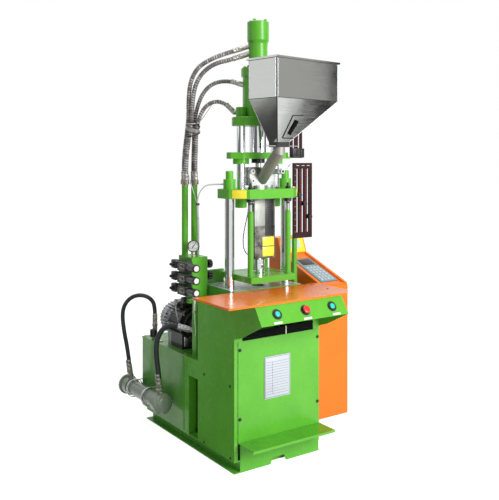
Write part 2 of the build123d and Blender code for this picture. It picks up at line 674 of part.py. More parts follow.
# Moving injection plate with its two bushes
with BuildPart() as injection_plate:
    with BuildSketch(Plane.XY.offset(PLATE_BOTTOM)):
        long_octagon(PLATE_HALF, PLATE_END_HALF, PLATE_MID_HALF + 60, PLATE_MID_DEPTH)
    extrude(amount=PLATE_T)
    for x in (-COLUMN_X, COLUMN_X):
        rod(x, 0, PLATE_BOTTOM - BUSH_H, PLATE_BOTTOM, BUSH_R)
        rod(x, 0, PLATE_BOTTOM - BUSH_H, PLATE_TOP, COLUMN_R + SLIDE, Mode.SUBTRACT)
    span_box((PLATE_HALF, -PLATE_END_HALF / 2, PLATE_BOTTOM),
             (PLATE_HALF + PLATE_TONGUE_L, PLATE_END_HALF / 2, PLATE_BOTTOM + PLATE_TONGUE_T))
finish(injection_plate.part, "injection_plate")

with BuildPart() as coupling:
    with BuildSketch(Plane.XY.offset(PLATE_BOTTOM - COUPLING_H)):
        Circle(COUPLING_R)
    extrude(amount=COUPLING_H)
    with BuildSketch(Plane.XY.offset(PLATE_BOTTOM - COUPLING_H)):
        with PolarLocations(COUPLING_R, 6):
            Circle(4)
    extrude(amount=COUPLING_H, mode=Mode.SUBTRACT)
finish(coupling.part, "coupling")

# Reciprocating screw: shank above, flighted length inside the barrel
SCREW_R_OUT = BARREL_BORE_R - SCREW_CLEAR
SCREW_TIP = MOULD_TOP + NOZZLE_L + 2 * FLIGHT_DEPTH
FLIGHT_TOP = HEAD_BOTTOM
with BuildPart() as screw:
    rod(0, 0, SCREW_TIP + 3 * FLIGHT_DEPTH, FLIGHT_TOP, SCREW_R_OUT - FLIGHT_DEPTH)
    rod(0, 0, FLIGHT_TOP, PLATE_BOTTOM - COUPLING_H, SCREW_R_OUT)
    with BuildPart(mode=Mode.PRIVATE) as flight:
        with BuildLine():
            Helix(FLIGHT_PITCH, FLIGHT_TOP - SCREW_TIP - 6 * FLIGHT_DEPTH, SCREW_R_OUT - FLIGHT_DEPTH - 0.5,
                  center=(0, 0, SCREW_TIP + 4 * FLIGHT_DEPTH))
        with BuildSketch(Plane(origin=(SCREW_R_OUT - FLIGHT_DEPTH - 0.5, 0, SCREW_TIP + 4 * FLIGHT_DEPTH),
                               x_dir=(1, 0, 0), z_dir=(0, 1, 0))):
            with Locations((FLIGHT_DEPTH / 2 + 0.25, 0)):
                Rectangle(FLIGHT_DEPTH + 0.5, FLIGHT_LAND)
        sweep(is_frenet=True)
    add(flight.part)
finish(screw.part, "screw")

# Feed block, barrel with its nozzle and heater bands, and the barrel guard
with BuildPart() as feed_block:
    span_box((-FEED_HALF, -FEED_DEPTH, HEAD_TOP + FEED_FLANGE_H), (FEED_HALF, FEED_DEPTH, FEED_TOP))
    chamfer(edges().filter_by(Axis.Z), 3)
    rod(0, 0, HEAD_TOP, HEAD_TOP + FEED_FLANGE_H, FEED_FLANGE_R + 8)
    rod(0, 0, HEAD_TOP, FEED_TOP, BARREL_BORE_R, Mode.SUBTRACT)
    stub((FEED_MOUTH_X, -FEED_DEPTH, FEED_MOUTH_Z), (0, 0, FEED_MOUTH_Z - FEED_DEPTH / 2), FEED_MOUTH_R / 2,
         Mode.SUBTRACT)
    with BuildSketch(Plane.XZ.offset(FEED_DEPTH)):
        with Locations((-FEED_HALF + 16, FEED_TOP - 22), (-FEED_HALF + 16, HEAD_TOP + 40)):
            Circle(11)
            Circle(5, mode=Mode.SUBTRACT)
    extrude(amount=9)
finish(feed_block.part, "feed_block")

with BuildPart() as barrel:
    with BuildSketch(Plane.XZ):
        with BuildLine():
            Polyline((BARREL_BORE_R, HEAD_TOP), (BARREL_R + 10, HEAD_TOP), (BARREL_R + 10, HEAD_BOTTOM - 8),
                     (BARREL_R, HEAD_BOTTOM - 8), (BARREL_R, MOULD_TOP + 14), (SPRUE_R + 6, MOULD_TOP),
                     (2, MOULD_TOP), (2, MOULD_TOP + NOZZLE_L / 2), (BARREL_BORE_R, MOULD_TOP + NOZZLE_L),
                     close=True)
        make_face()
    revolve(axis=Axis.Z)
    for k in range(3):
        foot = GUARD_BOTTOM + BAND_GAP + k * (BAND_H + BAND_GAP)
        rod(0, 0, foot, foot + BAND_H, BAND_R)
        span_box((-BAND_R - 12, -6, foot), (-BAND_R + 2, 6, foot + BAND_H))
    rod(0, 0, MOULD_TOP + NOZZLE_L, HEAD_TOP, BARREL_BORE_R, Mode.SUBTRACT)
finish(barrel.part, "barrel")

with BuildPart() as barrel_cover:
    span_box((GUARD_LEFT, -GUARD_DEPTH, GUARD_BOTTOM), (GUARD_RIGHT, GUARD_DEPTH, HEAD_BOTTOM))
    fillet(edges().filter_by(Axis.Z), 6)
    offset(amount=-GUARD_T, openings=[faces().sort_by(Axis.Z)[0], faces().sort_by(Axis.Z)[-1]])
finish(barrel_cover.part, "barrel_cover")

# Hopper: vertical walls, an eccentric funnel, rolled rim, all one folded shell
HOPPER_FRAME = Plane(origin=(OUTLET_X, OUTLET_Y, 0),
                     x_dir=(cos(radians(HOPPER_TURN)), sin(radians(HOPPER_TURN)), 0),
                     z_dir=(0, 0, 1))
RIM_LEFT = -OUTLET_W / 2 - OUTLET_IN_W
RIM_FRONT = -OUTLET_D / 2 - OUTLET_IN_D
RIM_CX = RIM_LEFT + HOPPER_W / 2
RIM_CY = RIM_FRONT + HOPPER_D / 2


def funnel(shrink):
    """The hopper's outer form, or its hollow when shrink is the wall."""
    mode = Mode.SUBTRACT if shrink else Mode.ADD
    with BuildSketch(HOPPER_FRAME.offset(OUTLET_Z)) as outlet:
        Rectangle(OUTLET_W - 2 * shrink, OUTLET_D - 2 * shrink)
    with BuildSketch(HOPPER_FRAME.offset(WALL_FOOT_Z)) as shoulder:
        with Locations((RIM_CX, RIM_CY)):
            Rectangle(HOPPER_W - 2 * shrink, HOPPER_D - 2 * shrink)
    loft([outlet.sketch, shoulder.sketch], mode=mode)
    extrude(shoulder.sketch, amount=RIM_Z - WALL_FOOT_Z, mode=mode)


with BuildPart() as hopper:
    funnel(0)
    with BuildSketch(HOPPER_FRAME.offset(RIM_Z - HOPPER_LIP)):
        with Locations((RIM_CX, RIM_CY)):
            Rectangle(HOPPER_W + 2 * HOPPER_LIP, HOPPER_D + 2 * HOPPER_LIP)
    extrude(amount=HOPPER_LIP)
    funnel(HOPPER_T)
finish(hopper.part, "hopper")

# Outlet collar with the gate's slot, and the bent feed tube
TUBE_TOP_Z = OUTLET_Z - COLLAR_H
with BuildPart() as feed_tube:
    with BuildSketch(HOPPER_FRAME.offset(TUBE_TOP_Z)):
        Rectangle(OUTLET_W, OUTLET_D)
    extrude(amount=COLLAR_H)
    with BuildSketch(HOPPER_FRAME.offset(TUBE_TOP_Z)):
        Rectangle(OUTLET_W - 2 * COLLAR_WALL, OUTLET_D - 2 * COLLAR_WALL)
    extrude(amount=COLLAR_H, mode=Mode.SUBTRACT)
    with BuildSketch(HOPPER_FRAME.offset(TUBE_TOP_Z + SHEET)):
        Rectangle(OUTLET_W, GATE_W + 2 * RUN)
    extrude(amount=GATE_T + 2 * RUN, mode=Mode.SUBTRACT)
    with BuildPart(mode=Mode.PRIVATE) as tube:
        mouth = Vector(FEED_MOUTH_X, -FEED_DEPTH, FEED_MOUTH_Z)
        bend = Vector(OUTLET_X, OUTLET_Y, TUBE_TOP_Z - FEED_TUBE_DROP)
        with BuildLine():
            tube_path = Polyline((OUTLET_X, OUTLET_Y, TUBE_TOP_Z), bend, mouth + (mouth - bend) * 0.08)
        with BuildSketch(Plane(origin=tube_path @ 0, x_dir=(1, 0, 0), z_dir=(0, 0, -1))):
            Circle(FEED_TUBE_R)
            Circle(FEED_TUBE_R - FEED_TUBE_WALL, mode=Mode.SUBTRACT)
        sweep(transition=Transition.RIGHT)
    add(tube.part)
    span_box((-FEED_HALF, -FEED_DEPTH, HEAD_TOP), (FEED_HALF, FEED_DEPTH, FEED_TOP), Mode.SUBTRACT)
finish(feed_tube.part, "feed_tube")

with BuildPart() as hopper_gate:
    with BuildSketch(HOPPER_FRAME.offset(TUBE_TOP_Z + SHEET + RUN)):
        with Locations((GATE_SHIFT, 0)):
            Rectangle(GATE_L, GATE_W)
    extrude(amount=GATE_T)
finish(hopper_gate.part, "hopper_gate")


# Limit racks: slotted plates, the clamp's own on a post, the injection's on the head plate
def rack_slots(left, bottom, top, count):
    """Upright slots with round ends through a rack plate."""
    with BuildSketch(Plane.XZ.offset(RACK_T / 2)) as slots:
        with Locations((left, (bottom + top) / 2)):
            with GridLocations(RACK_SLOT_PITCH, 1, count, 1):
                SlotOverall(top - bottom, RACK_SLOT_W, rotation=90)
    extrude(slots.sketch, amount=-RACK_T, mode=Mode.SUBTRACT)


RACK_MID = RACK_LEFT + RACK_W / 2
with BuildPart() as limit_rack:
    span_box((RACK_LEFT, -RACK_T / 2, RACK_BOTTOM), (RACK_LEFT + RACK_W, RACK_T / 2, RACK_TOP))
    rack_slots(RACK_MID, RACK_BOTTOM + RACK_BAR, RACK_TOP - RACK_BAR, RACK_SLOTS)
    span_box((RACK_LEFT, -RACK_POST / 2, TABLE_BOTTOM - FLANGE),
             (RACK_LEFT + RACK_POST, RACK_POST / 2, RACK_BOTTOM))
    span_box((PLATEN_HALF, -RACK_POST, TABLE_BOTTOM - FLANGE - RACK_T),
             (RACK_LEFT + RACK_POST, RACK_POST, TABLE_BOTTOM - FLANGE))
finish(limit_rack.part, "limit_rack")

for k, name in enumerate(("rack_slider_left", "rack_slider_middle", "rack_slider_right")):
    slider_x = RACK_MID + (k - 1) * RACK_SLOT_PITCH
    with BuildPart() as slider:
        with BuildSketch(Plane.XZ.offset(RACK_T / 2 + RUN)):
            with Locations((slider_x, SLIDER_HEIGHTS[k])):
                RegularPolygon(SLIDER_R * 1.5, 6)
        extrude(amount=SLIDER_R * 1.6)
        with BuildSketch(Plane.XZ.offset(-RACK_T / 2 - RUN)):
            with Locations((slider_x, SLIDER_HEIGHTS[k])):
                Circle(RACK_SLOT_W / 2 - RUN)
        extrude(amount=RACK_T + 2 * RUN)
        with BuildSketch(Plane.XZ.offset(-RACK_T / 2 - RUN)):
            with Locations((slider_x, SLIDER_HEIGHTS[k])):
                Rectangle(RACK_SLOT_W * 1.6, RACK_SLOT_W * 1.6)
        extrude(amount=-10)
    finish(slider.part, name)

with BuildPart() as injection_rack:
    span_box((INJ_RACK_X, -RACK_T / 2, INJ_RACK_BOTTOM), (INJ_RACK_X + INJ_RACK_W, RACK_T / 2, INJ_RACK_TOP))
    rack_slots(INJ_RACK_X + INJ_RACK_W / 2, INJ_RACK_BOTTOM + INJ_RACK_FOOT, INJ_RACK_TOP - RACK_BAR / 2, 2)
    span_box((INJ_RACK_X, -RACK_T / 2, INJ_RACK_TOP), (INJ_RACK_X + RACK_BAR, RACK_T / 2, TOP_PLATE_TOP))
    span_box((COLUMN_X + TOP_NUT_R + 1, -RACK_T / 2, TOP_PLATE_TOP),
             (INJ_RACK_X + RACK_BAR, RACK_T / 2, TOP_PLATE_TOP + RACK_T))
finish(injection_rack.part, "injection_rack")

# Oil tank with its flanged lid and the breather's neck
with BuildPart() as oil_tank:
    span_box((CABINET_LEFT, TANK_FRONT, TANK_BOTTOM), (CABINET_RIGHT, TANK_BACK, TANK_TOP - TANK_LIP))
    fillet(edges().filter_by(Axis.Z), 12)
    span_box((CABINET_LEFT, TANK_FRONT, TANK_TOP - TANK_LIP), (CABINET_RIGHT, TANK_BACK, TANK_TOP))
    rod(BREATHER_X, BREATHER_Y, TANK_TOP, TANK_TOP + BREATHER_NECK_H, BREATHER_NECK_R)
    span_box((CABINET_LEFT, TANK_FRONT, CHANNEL_H), (CABINET_RIGHT, BASE_BACK, TANK_BOTTOM))
finish(oil_tank.part, "oil_tank")

with BuildPart() as breather_cap:
    rod(BREATHER_X, BREATHER_Y, TANK_TOP + BREATHER_FOOT, TANK_TOP + BREATHER_H, BREATHER_R)
    fillet(edges().group_by(Axis.Z)[-1], 6)
    rod(BREATHER_X, BREATHER_Y, TANK_TOP + BREATHER_FOOT, TANK_TOP + BREATHER_NECK_H, BREATHER_NECK_R + RUN,
        Mode.SUBTRACT)
finish(breather_cap.part, "breather_cap")

# Shell and tube oil cooler, lying along the left side on two strapped brackets
with BuildPart() as oil_cooler:
    with BuildSketch(Plane(origin=(COOLER_X, 0, COOLER_Z), x_dir=(0, 1, 0), z_dir=(1, 0, 0))):
        with BuildLine():
            Polyline((COOLER_FRONT, 0), (COOLER_FRONT, COOLER_NECK_R - 6), (COOLER_FRONT + 10, COOLER_HEAD_R),
                     (COOLER_FRONT + 10 + COOLER_RING_T, COOLER_HEAD_R),
                     (COOLER_FRONT + 10 + COOLER_RING_T, COOLER_NECK_R),
                     (COOLER_FRONT + COOLER_HEAD_L, COOLER_NECK_R), (COOLER_FRONT + COOLER_HEAD_L, COOLER_R),
                     (COOLER_BACK - COOLER_HEAD_L, COOLER_R), (COOLER_BACK - COOLER_HEAD_L, COOLER_NECK_R),
                     (COOLER_BACK - 10 - COOLER_RING_T, COOLER_NECK_R),
                     (COOLER_BACK - 10 - COOLER_RING_T, COOLER_HEAD_R), (COOLER_BACK - 10, COOLER_HEAD_R),
                     (COOLER_BACK, COOLER_NECK_R - 6), (COOLER_BACK, 0), close=True)
        make_face()
    revolve(axis=Axis((COOLER_X, 0, COOLER_Z), (0, 1, 0)))
finish(oil_cooler.part, "oil_cooler")

with BuildPart() as cooler_straps:
    for y in STRAP_Y:
        with BuildSketch(Plane.XZ.offset(-y)):
            with Locations((COOLER_X, COOLER_Z)):
                Circle(COOLER_R + STRAP_T)
            with BuildLine():
                Polyline((COOLER_X, STRAP_TOP + STRAP_T), (CABINET_LEFT, STRAP_TOP + STRAP_T),
                         (CABINET_LEFT, STRAP_FOOT), (CABINET_LEFT - STRAP_T, STRAP_FOOT),
                         (CABINET_LEFT - STRAP_T, STRAP_TOP), (COOLER_X, STRAP_TOP), close=True)
            make_face()
            with Locations((COOLER_X, COOLER_Z)):
                Circle(COOLER_R, mode=Mode.SUBTRACT)
        extrude(amount=-STRAP_W)
finish(cooler_straps.part, "cooler_straps")

# Electric motor with cooling fins, fan cowl, bell housing and pump
MOTOR_BACK = MOTOR_FRONT + MOTOR_BODY_L
MOTOR_FOOT_HALF = 60.0
PUMP_BACK = MOTOR_FRONT - MOTOR_PLATE_T - BELL_L
with BuildPart() as pump_motor:
    with BuildSketch(Plane.XZ.offset(-MOTOR_FRONT)):
        with Locations((MOTOR_X, MOTOR_Z)):
            Circle(MOTOR_BODY_R - FIN_H)
            with PolarLocations(MOTOR_BODY_R - FIN_H / 2 - 1, MOTOR_FINS):
                Rectangle(FIN_H + 2, FIN_T)
    extrude(amount=-MOTOR_BODY_L)
    stub((MOTOR_X, MOTOR_BACK, MOTOR_Z), (MOTOR_X, MOTOR_BACK + COWL_L, MOTOR_Z), MOTOR_BODY_R)
    chamfer(edges().group_by(Axis.Y)[-1], FIN_H)
    stub((MOTOR_X, MOTOR_FRONT, MOTOR_Z), (MOTOR_X, MOTOR_FRONT - MOTOR_PLATE_T, MOTOR_Z), MOTOR_BODY_R)
    stub((MOTOR_X, MOTOR_FRONT, MOTOR_Z), (MOTOR_X, PUMP_BACK, MOTOR_Z), (MOTOR_BODY_R + PUMP_R) / 2)
    stub((MOTOR_X, PUMP_BACK, MOTOR_Z), (MOTOR_X, PUMP_BACK - PUMP_L, MOTOR_Z), PUMP_R)
    chamfer(edges().group_by(Axis.Y)[0], 6)
    span_box((MOTOR_X - MOTOR_FOOT_HALF, MOTOR_FRONT, TANK_TOP),
             (MOTOR_X + MOTOR_FOOT_HALF, MOTOR_BACK, TANK_TOP + MOTOR_PLATE_T))
    for x in (MOTOR_X - MOTOR_FOOT_HALF, MOTOR_X + MOTOR_FOOT_HALF - MOTOR_PLATE_T):
        span_box((x, MOTOR_FRONT, TANK_TOP), (x + MOTOR_PLATE_T, MOTOR_BACK, MOTOR_Z - MOTOR_FOOT_HALF / 2))
finish(pump_motor.part, "pump_motor")

# Valve block on its angle column, with three solenoid valves on its left face
COLUMN_LEFT = BLOCK_LEFT + 10
with BuildPart() as manifold:
    span_box((BLOCK_LEFT, BLOCK_FRONT, BLOCK_BOTTOM), (BLOCK_RIGHT, BLOCK_BACK, BLOCK_TOP))
    chamfer(edges().filter_by(Axis.Z), 3)
    post_x = COLUMN_LEFT + COLUMN_IN
    post_y = COLUMN_FOOT_Y - COLUMN_AHEAD
    span_box((post_x, post_y, TANK_TOP),
             (post_x + COLUMN_PLATE_T, post_y + COLUMN_FOOT_D, BLOCK_BOTTOM))
    span_box((post_x, post_y, TANK_TOP),
             (post_x + COLUMN_FOOT_W, post_y + COLUMN_PLATE_T, BLOCK_BOTTOM))
    span_box((COLUMN_LEFT, COLUMN_FOOT_Y, BLOCK_BOTTOM - LUG_H),
             (post_x, COLUMN_FOOT_Y + COLUMN_FOOT_D, BLOCK_BOTTOM))
finish(manifold.part, "manifold")

VALVE_ZS = [VALVE_TOP_Z - k * VALVE_PITCH for k in range(3)]
VALVE_X = BLOCK_LEFT - VALVE_SIZE / 2
with BuildPart() as solenoid_valves:
    for z in VALVE_ZS:
        half = VALVE_SIZE / 2
        body_front = (VALVE_FRONT + VALVE_BACK - VALVE_BODY_L) / 2
        span_box((VALVE_X - half, body_front, z - half),
                 (VALVE_X + half, body_front + VALVE_BODY_L, z + half))
        stub((VALVE_X, VALVE_FRONT, z), (VALVE_X, VALVE_BACK, z), half - 2)
        stub((VALVE_X, VALVE_FRONT, z), (VALVE_X, VALVE_FRONT - 5, z), half - 6)
finish(solenoid_valves.part, "solenoid_valves")


def knob(plane, radius, length, lobes):
    """A grip with scalloped edge on a short stem, standing on its plane."""
    with BuildSketch(plane) as stem:
        Circle(radius * 0.4)
    extrude(stem.sketch, amount=length * 0.35)
    with BuildSketch(plane.offset(length * 0.35)) as grip:
        Circle(radius)
        with PolarLocations(radius * 1.12, lobes):
            Circle(radius * 0.3, mode=Mode.SUBTRACT)
    extrude(grip.sketch, amount=length * 0.65)


RELIEF_Z = (BLOCK_TOP - 42, BLOCK_TOP - 104)
for z, name in zip(RELIEF_Z, ("relief_knob_upper", "relief_knob_lower")):
    with BuildPart() as relief:
        face = Plane(origin=(BLOCK_RIGHT + RUN, BLOCK_FRONT + RELIEF_R + 2, z), z_dir=(1, 0, 0))
        knob(face, RELIEF_R, RELIEF_L, 10)
    finish(relief.part, name)

with BuildPart() as star_knob:
    star_origin = (COLUMN_LEFT - RUN, COLUMN_FOOT_Y + COLUMN_FOOT_D / 2, BLOCK_BOTTOM - STAR_R - 6)
    knob(Plane(origin=star_origin, z_dir=(-1, 0, 0)), STAR_R, STAR_L, 6)
finish(star_knob.part, "star_knob")

# Riser pipes with their split heads
with BuildPart() as riser_pipes:
    for x, y in RISER_XY:
        rod(x, y, BLOCK_TOP, RISER_TOP, RISER_R)
        with BuildSketch(Plane.XY.offset(RISER_TOP)):
            with Locations((x, y)):
                SlotOverall(HOSE_PAIR + 2 * RISER_R, 2 * RISER_R, rotation=90)
        extrude(amount=RISER_CAP)
finish(riser_pipes.part, "riser_pipes")

# Pressure gauge: case, stem and the needle on its spindle
GAUGE_DIR = Vector(-sin(radians(GAUGE_TURN)), -cos(radians(GAUGE_TURN)), 0)
GAUGE_SIDE = Vector(cos(radians(GAUGE_TURN)), -sin(radians(GAUGE_TURN)), 0)
gauge_plane = Plane(origin=(GAUGE_X, GAUGE_Y, GAUGE_Z), x_dir=GAUGE_SIDE, z_dir=GAUGE_DIR)
with BuildPart() as pressure_gauge:
    with BuildSketch(gauge_plane.offset(-GAUGE_T / 2)):
        Circle(GAUGE_R)
    extrude(amount=GAUGE_T)
    with BuildSketch(gauge_plane.offset(GAUGE_T / 2 - 8)):
        Circle(GAUGE_R - 3)
    extrude(amount=8, mode=Mode.SUBTRACT)
    with BuildSketch(gauge_plane.offset(GAUGE_T / 2 - 9)):
        Circle(1.2)
    extrude(amount=6)
    rod(GAUGE_X, GAUGE_Y, BLOCK_TOP, GAUGE_Z - GAUGE_R + 3, 7)
finish(pressure_gauge.part, "pressure_gauge")

with BuildPart() as gauge_needle:
    with BuildSketch(gauge_plane.offset(GAUGE_T / 2 - 6)):
        with BuildLine():
            Polyline((-2.2, -9), (2.2, -9), (0.7, 23), (-0.7, 23), close=True)
        make_face()
        Circle(3.5)
        Circle(1.2 + SLIDE, mode=Mode.SUBTRACT)
    extrude(amount=1)
finish(gauge_needle.part, "gauge_needle")

# Electrical cabinet with the operator's desk on top and a door on its outer side
with BuildPart() as electrical_cabinet:
    with BuildSketch(Plane.YZ.offset(ELEC_LEFT)):
        with BuildLine():
            Polyline((ELEC_FRONT, ELEC_BOTTOM), (ELEC_FRONT, ELEC_LIP), (DESK_Y, DESK_Z), (CREST_Y, CREST_Z),
                     (ELEC_BACK, CREST_Z), (ELEC_BACK, ELEC_BOTTOM), close=True)
        make_face()
    extrude(amount=ELEC_RIGHT - ELEC_LEFT)
    span_box((ELEC_LEFT + SHEET, ELEC_FRONT + DOOR_MARGIN, ELEC_BOTTOM + DOOR_MARGIN),
             (ELEC_RIGHT, ELEC_BACK - DOOR_MARGIN, ELEC_LIP - DOOR_MARGIN), Mode.SUBTRACT)
    for z in BRACKET_Z:
        for y in (BRACKET_Y - 90, BRACKET_Y):
            span_box((CABINET_RIGHT, y, z), (ELEC_LEFT + 1, y + BRACKET, z + BRACKET))
finish(electrical_cabinet.part, "electrical_cabinet")

with BuildPart() as cabinet_door:
    span_box((ELEC_RIGHT + DOOR_GAP, ELEC_FRONT + 6, ELEC_BOTTOM + 6),
             (ELEC_RIGHT + DOOR_GAP + 2 * SHEET, ELEC_BACK - 6, ELEC_LIP - 6))
    fillet(edges().filter_by(Axis.X), 4)
    span_box((ELEC_RIGHT + DOOR_GAP + 2 * SHEET, ELEC_FRONT + 30, (ELEC_BOTTOM + ELEC_LIP) / 2 - 40),
             (ELEC_RIGHT + DOOR_GAP + 2 * SHEET + 12, ELEC_FRONT + 48, (ELEC_BOTTOM + ELEC_LIP) / 2 + 40))
    for z in BRACKET_Z:
        rod(ELEC_RIGHT + HINGE_OUT, ELEC_BACK - 6, z - HINGE_L / 2, z + HINGE_L / 2, HINGE_R)
finish(cabinet_door.part, "cabinet_door")


# Hoses, cable and tubes, each along its own route
def corner_radii(points):
    """The largest arc that each corner of a route takes."""
    radii = []
    for a, b, c in zip(points, points[1:], points[2:]):
        first = Vector(*b) - Vector(*a)
        second = Vector(*c) - Vector(*b)
        turn = radians(first.get_angle(second))
        radii.append(0.45 * min(first.length, second.length) / tan(turn / 2))
    return radii


def hose(points, diameter, name):
    """A round hose along straight runs joined by tangent arcs."""
    radii = corner_radii(points)
    with BuildPart() as tube:
        with BuildLine():
            path = FilletPolyline(*points, radius=radii)
        with BuildSketch(Plane(origin=path @ 0, z_dir=path % 0)):
            Circle(diameter / 2)
        sweep()
    area = pi * diameter ** 2 / 4
    print(name, "length", round(path.length), "radii", [round(r) for r in radii],
          "volume ratio", round(tube.part.volume / area / path.length, 4))
    finish(tube.part, name)


def port_point(reach, z):
    """A point at a reach from the injection axis, on the side of the cylinder's ports."""
    return (PORT_DIR.X * reach, PORT_DIR.Y * reach, z)


def end_stub(route, end, length, radius):
    """A fitting that carries on a hose's line beyond one of its ends."""
    first, second = (Vector(*route[end]), Vector(*route[1 if end == 0 else -2]))
    stub(tuple(first), tuple(first + (first - second).normalized() * length), radius)


def hose_way(x, y, rise, way, port):
    """A hose's points: straight up from its riser, along its way, and into its port."""
    start = [(x, y, HOSE_FOOT), (x, y, HOSE_FOOT + rise)]
    return start + list(way) + [port_point(reach, z) for reach, z in port]


HOSE_FOOT = RISER_TOP + RISER_CAP
(RISER_A_X, RISER_A_Y), (RISER_B_X, RISER_B_Y) = RISER_XY
HALF_PAIR = HOSE_PAIR / 2
ROUTE_A = hose_way(RISER_A_X, RISER_A_Y + HALF_PAIR, FIRST_RISE_A, WAY_A, PORT_A)
ROUTE_B = hose_way(RISER_A_X, RISER_A_Y - HALF_PAIR, FIRST_RISE_A, WAY_B, PORT_B)
ROUTE_C = hose_way(RISER_B_X, RISER_B_Y + HALF_PAIR, FIRST_RISE_C, WAY_C, PORT_C)
ROUTE_D = hose_way(RISER_B_X, RISER_B_Y - HALF_PAIR, FIRST_RISE_D, WAY_D, PORT_D)
ROUTE_COOLER_BACK = [(-379, 753, 305), (-390, 758, 400), (-408, 768, 505), (-416, 774, 605), (-400, 763, 665),
                     (-362, 738, 703), (-314, 706, 708), (-274, 680, 684), (-258, 669, 640), (-258, 669, 595)]
ROUTE_COOLER_FRONT = [(-379, 387, 312), (-389, 388, 390), (-398, 387, 468), (-394, 380, 532),
                      (-374, 361, 584), (-342, 333, 607), (-312, 306, 604), (-284, 281, 594)]
ROUTE_LUBE = [(-240, 205, BLOCK_TOP), (-240, 205, 1055), (-250, 190, 1130), (-264, 167, 1200),
              (-282, 148, 1268), (-281, 126, 1326), (-262, 94, 1360), (-234, 58, 1366), (-200.8, 22.7, 1366)]
ROUTE_CABLE = [(-80, -30, HEAD_BOTTOM), (-80, -30, 1240), (-95, -30, 1180), (-111, -30, 1120),
               (-116, -30, 1066), (-108, -30, 1026), (-84, -30, 1000), (GUARD_LEFT, -30, 1000)]
hose(ROUTE_A, HOSE_D, "motor_hose_upper")
hose(ROUTE_B, HOSE_D, "motor_hose_lower")
hose(ROUTE_C, HOSE_D, "injection_hose_upper")
hose(ROUTE_D, HOSE_D, "injection_hose_lower")
hose(ROUTE_COOLER_BACK, COOLER_HOSE_D, "cooler_hose_rear")
hose(ROUTE_COOLER_FRONT, COOLER_HOSE_D, "cooler_hose_front")
hose(ROUTE_LUBE, TUBE_D, "lube_tube")
hose(ROUTE_CABLE, CABLE_D, "heater_cable")

# Fittings at the ends of the cooler's hoses, set into the walls they stand on
with BuildPart() as hose_fittings:
    for route, y in ((ROUTE_COOLER_FRONT, COOLER_FRONT_PORT), (ROUTE_COOLER_BACK, COOLER_BACK_PORT)):
        rod(COOLER_X, y, COOLER_Z + COOLER_R, COOLER_Z + COOLER_HEAD_R + 10, FITTING_R + SHEET)
        end_stub(route, 0, COOLER_STUB, FITTING_R)
    end_stub(ROUTE_COOLER_BACK, -1, ROUTE_COOLER_BACK[-1][2] - TANK_TOP, FITTING_R)
    end_stub(ROUTE_COOLER_FRONT, -1, PUMP_STUB, FITTING_R)
finish(hose_fittings.part, "hose_fittings")

with BuildPart() as cylinder_ports:
    for route, length in zip((ROUTE_A, ROUTE_B, ROUTE_C), PORT_STUBS):
        end_stub(route, -1, length, FITTING_R)
    end_stub(ROUTE_D, -1, ELBOW_REACH / 5, FITTING_R - 1.5)
    stub(port_point(CYLINDER_R - 8, ELBOW_Z), port_point(ELBOW_REACH, ELBOW_Z), FITTING_R)
finish(cylinder_ports.part, "cylinder_ports")
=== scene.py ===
# %% [markdown]
# # A small upright injection moulding machine, dressed for its portrait
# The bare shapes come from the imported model, which is loaded here in metres.
# Everything below either gives those shapes a finish or adds the small pieces that
# a workshop would bolt, stick or clamp on: screws, hoses, labels, dials and keys.

# %% Load the bare machine
from math import atan2, cos, pi, radians, sin
import bmesh
import bpy
from mathutils import Matrix, Vector


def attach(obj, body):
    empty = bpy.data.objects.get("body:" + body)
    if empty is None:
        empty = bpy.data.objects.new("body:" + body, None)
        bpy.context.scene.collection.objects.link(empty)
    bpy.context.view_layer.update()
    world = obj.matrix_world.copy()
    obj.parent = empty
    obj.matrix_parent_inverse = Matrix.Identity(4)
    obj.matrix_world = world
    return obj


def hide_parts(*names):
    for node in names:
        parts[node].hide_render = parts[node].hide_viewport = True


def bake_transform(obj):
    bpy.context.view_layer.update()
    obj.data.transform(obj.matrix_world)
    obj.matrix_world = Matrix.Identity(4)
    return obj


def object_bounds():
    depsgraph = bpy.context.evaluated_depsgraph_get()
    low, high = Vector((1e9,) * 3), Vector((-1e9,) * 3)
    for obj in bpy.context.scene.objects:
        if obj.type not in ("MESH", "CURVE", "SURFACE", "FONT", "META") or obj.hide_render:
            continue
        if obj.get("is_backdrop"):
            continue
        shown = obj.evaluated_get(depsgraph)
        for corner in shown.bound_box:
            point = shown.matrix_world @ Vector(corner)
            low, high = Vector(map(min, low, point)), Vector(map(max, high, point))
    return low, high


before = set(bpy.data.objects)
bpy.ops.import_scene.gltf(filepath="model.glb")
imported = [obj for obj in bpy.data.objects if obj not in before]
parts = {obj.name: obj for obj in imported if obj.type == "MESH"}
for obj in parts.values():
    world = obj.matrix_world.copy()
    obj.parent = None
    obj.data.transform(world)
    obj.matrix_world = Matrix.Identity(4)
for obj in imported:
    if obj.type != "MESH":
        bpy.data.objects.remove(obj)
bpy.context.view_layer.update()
MM = 0.001


def put(title, data):
    """A new object in the scene."""
    made = bpy.data.objects.new(title, data)
    bpy.context.scene.collection.objects.link(made)
    return made


# %% [markdown]
# The camera stands level, a little under four metres away to the operator's left.
# A level camera keeps upright edges upright. The machine hangs low in the picture
# because the lens is shifted, as on a view camera, and not because it is tilted.

# %% Camera
CAMERA_SPOT = (-2.216, -3.145, 1.500)
CAMERA_TURN = radians(-34.5)
lens = bpy.data.cameras.new("portrait_lens")
lens.sensor_width = 36.0
lens.lens = 52.92
lens.shift_y = -0.184
lens.clip_end = 60.0
camera = put("portrait_camera", lens)
camera.location = CAMERA_SPOT
camera.rotation_euler = (pi / 2, 0, CAMERA_TURN)
bpy.context.scene.camera = camera
bpy.context.scene.view_settings.view_transform = "Standard"
print("camera", CAMERA_SPOT)


# %% [markdown]
# Shader trees are easier to read with a few short helpers. What is given to a node's
# input may be a plain value, which is set on it, or an output, which is tied to it.

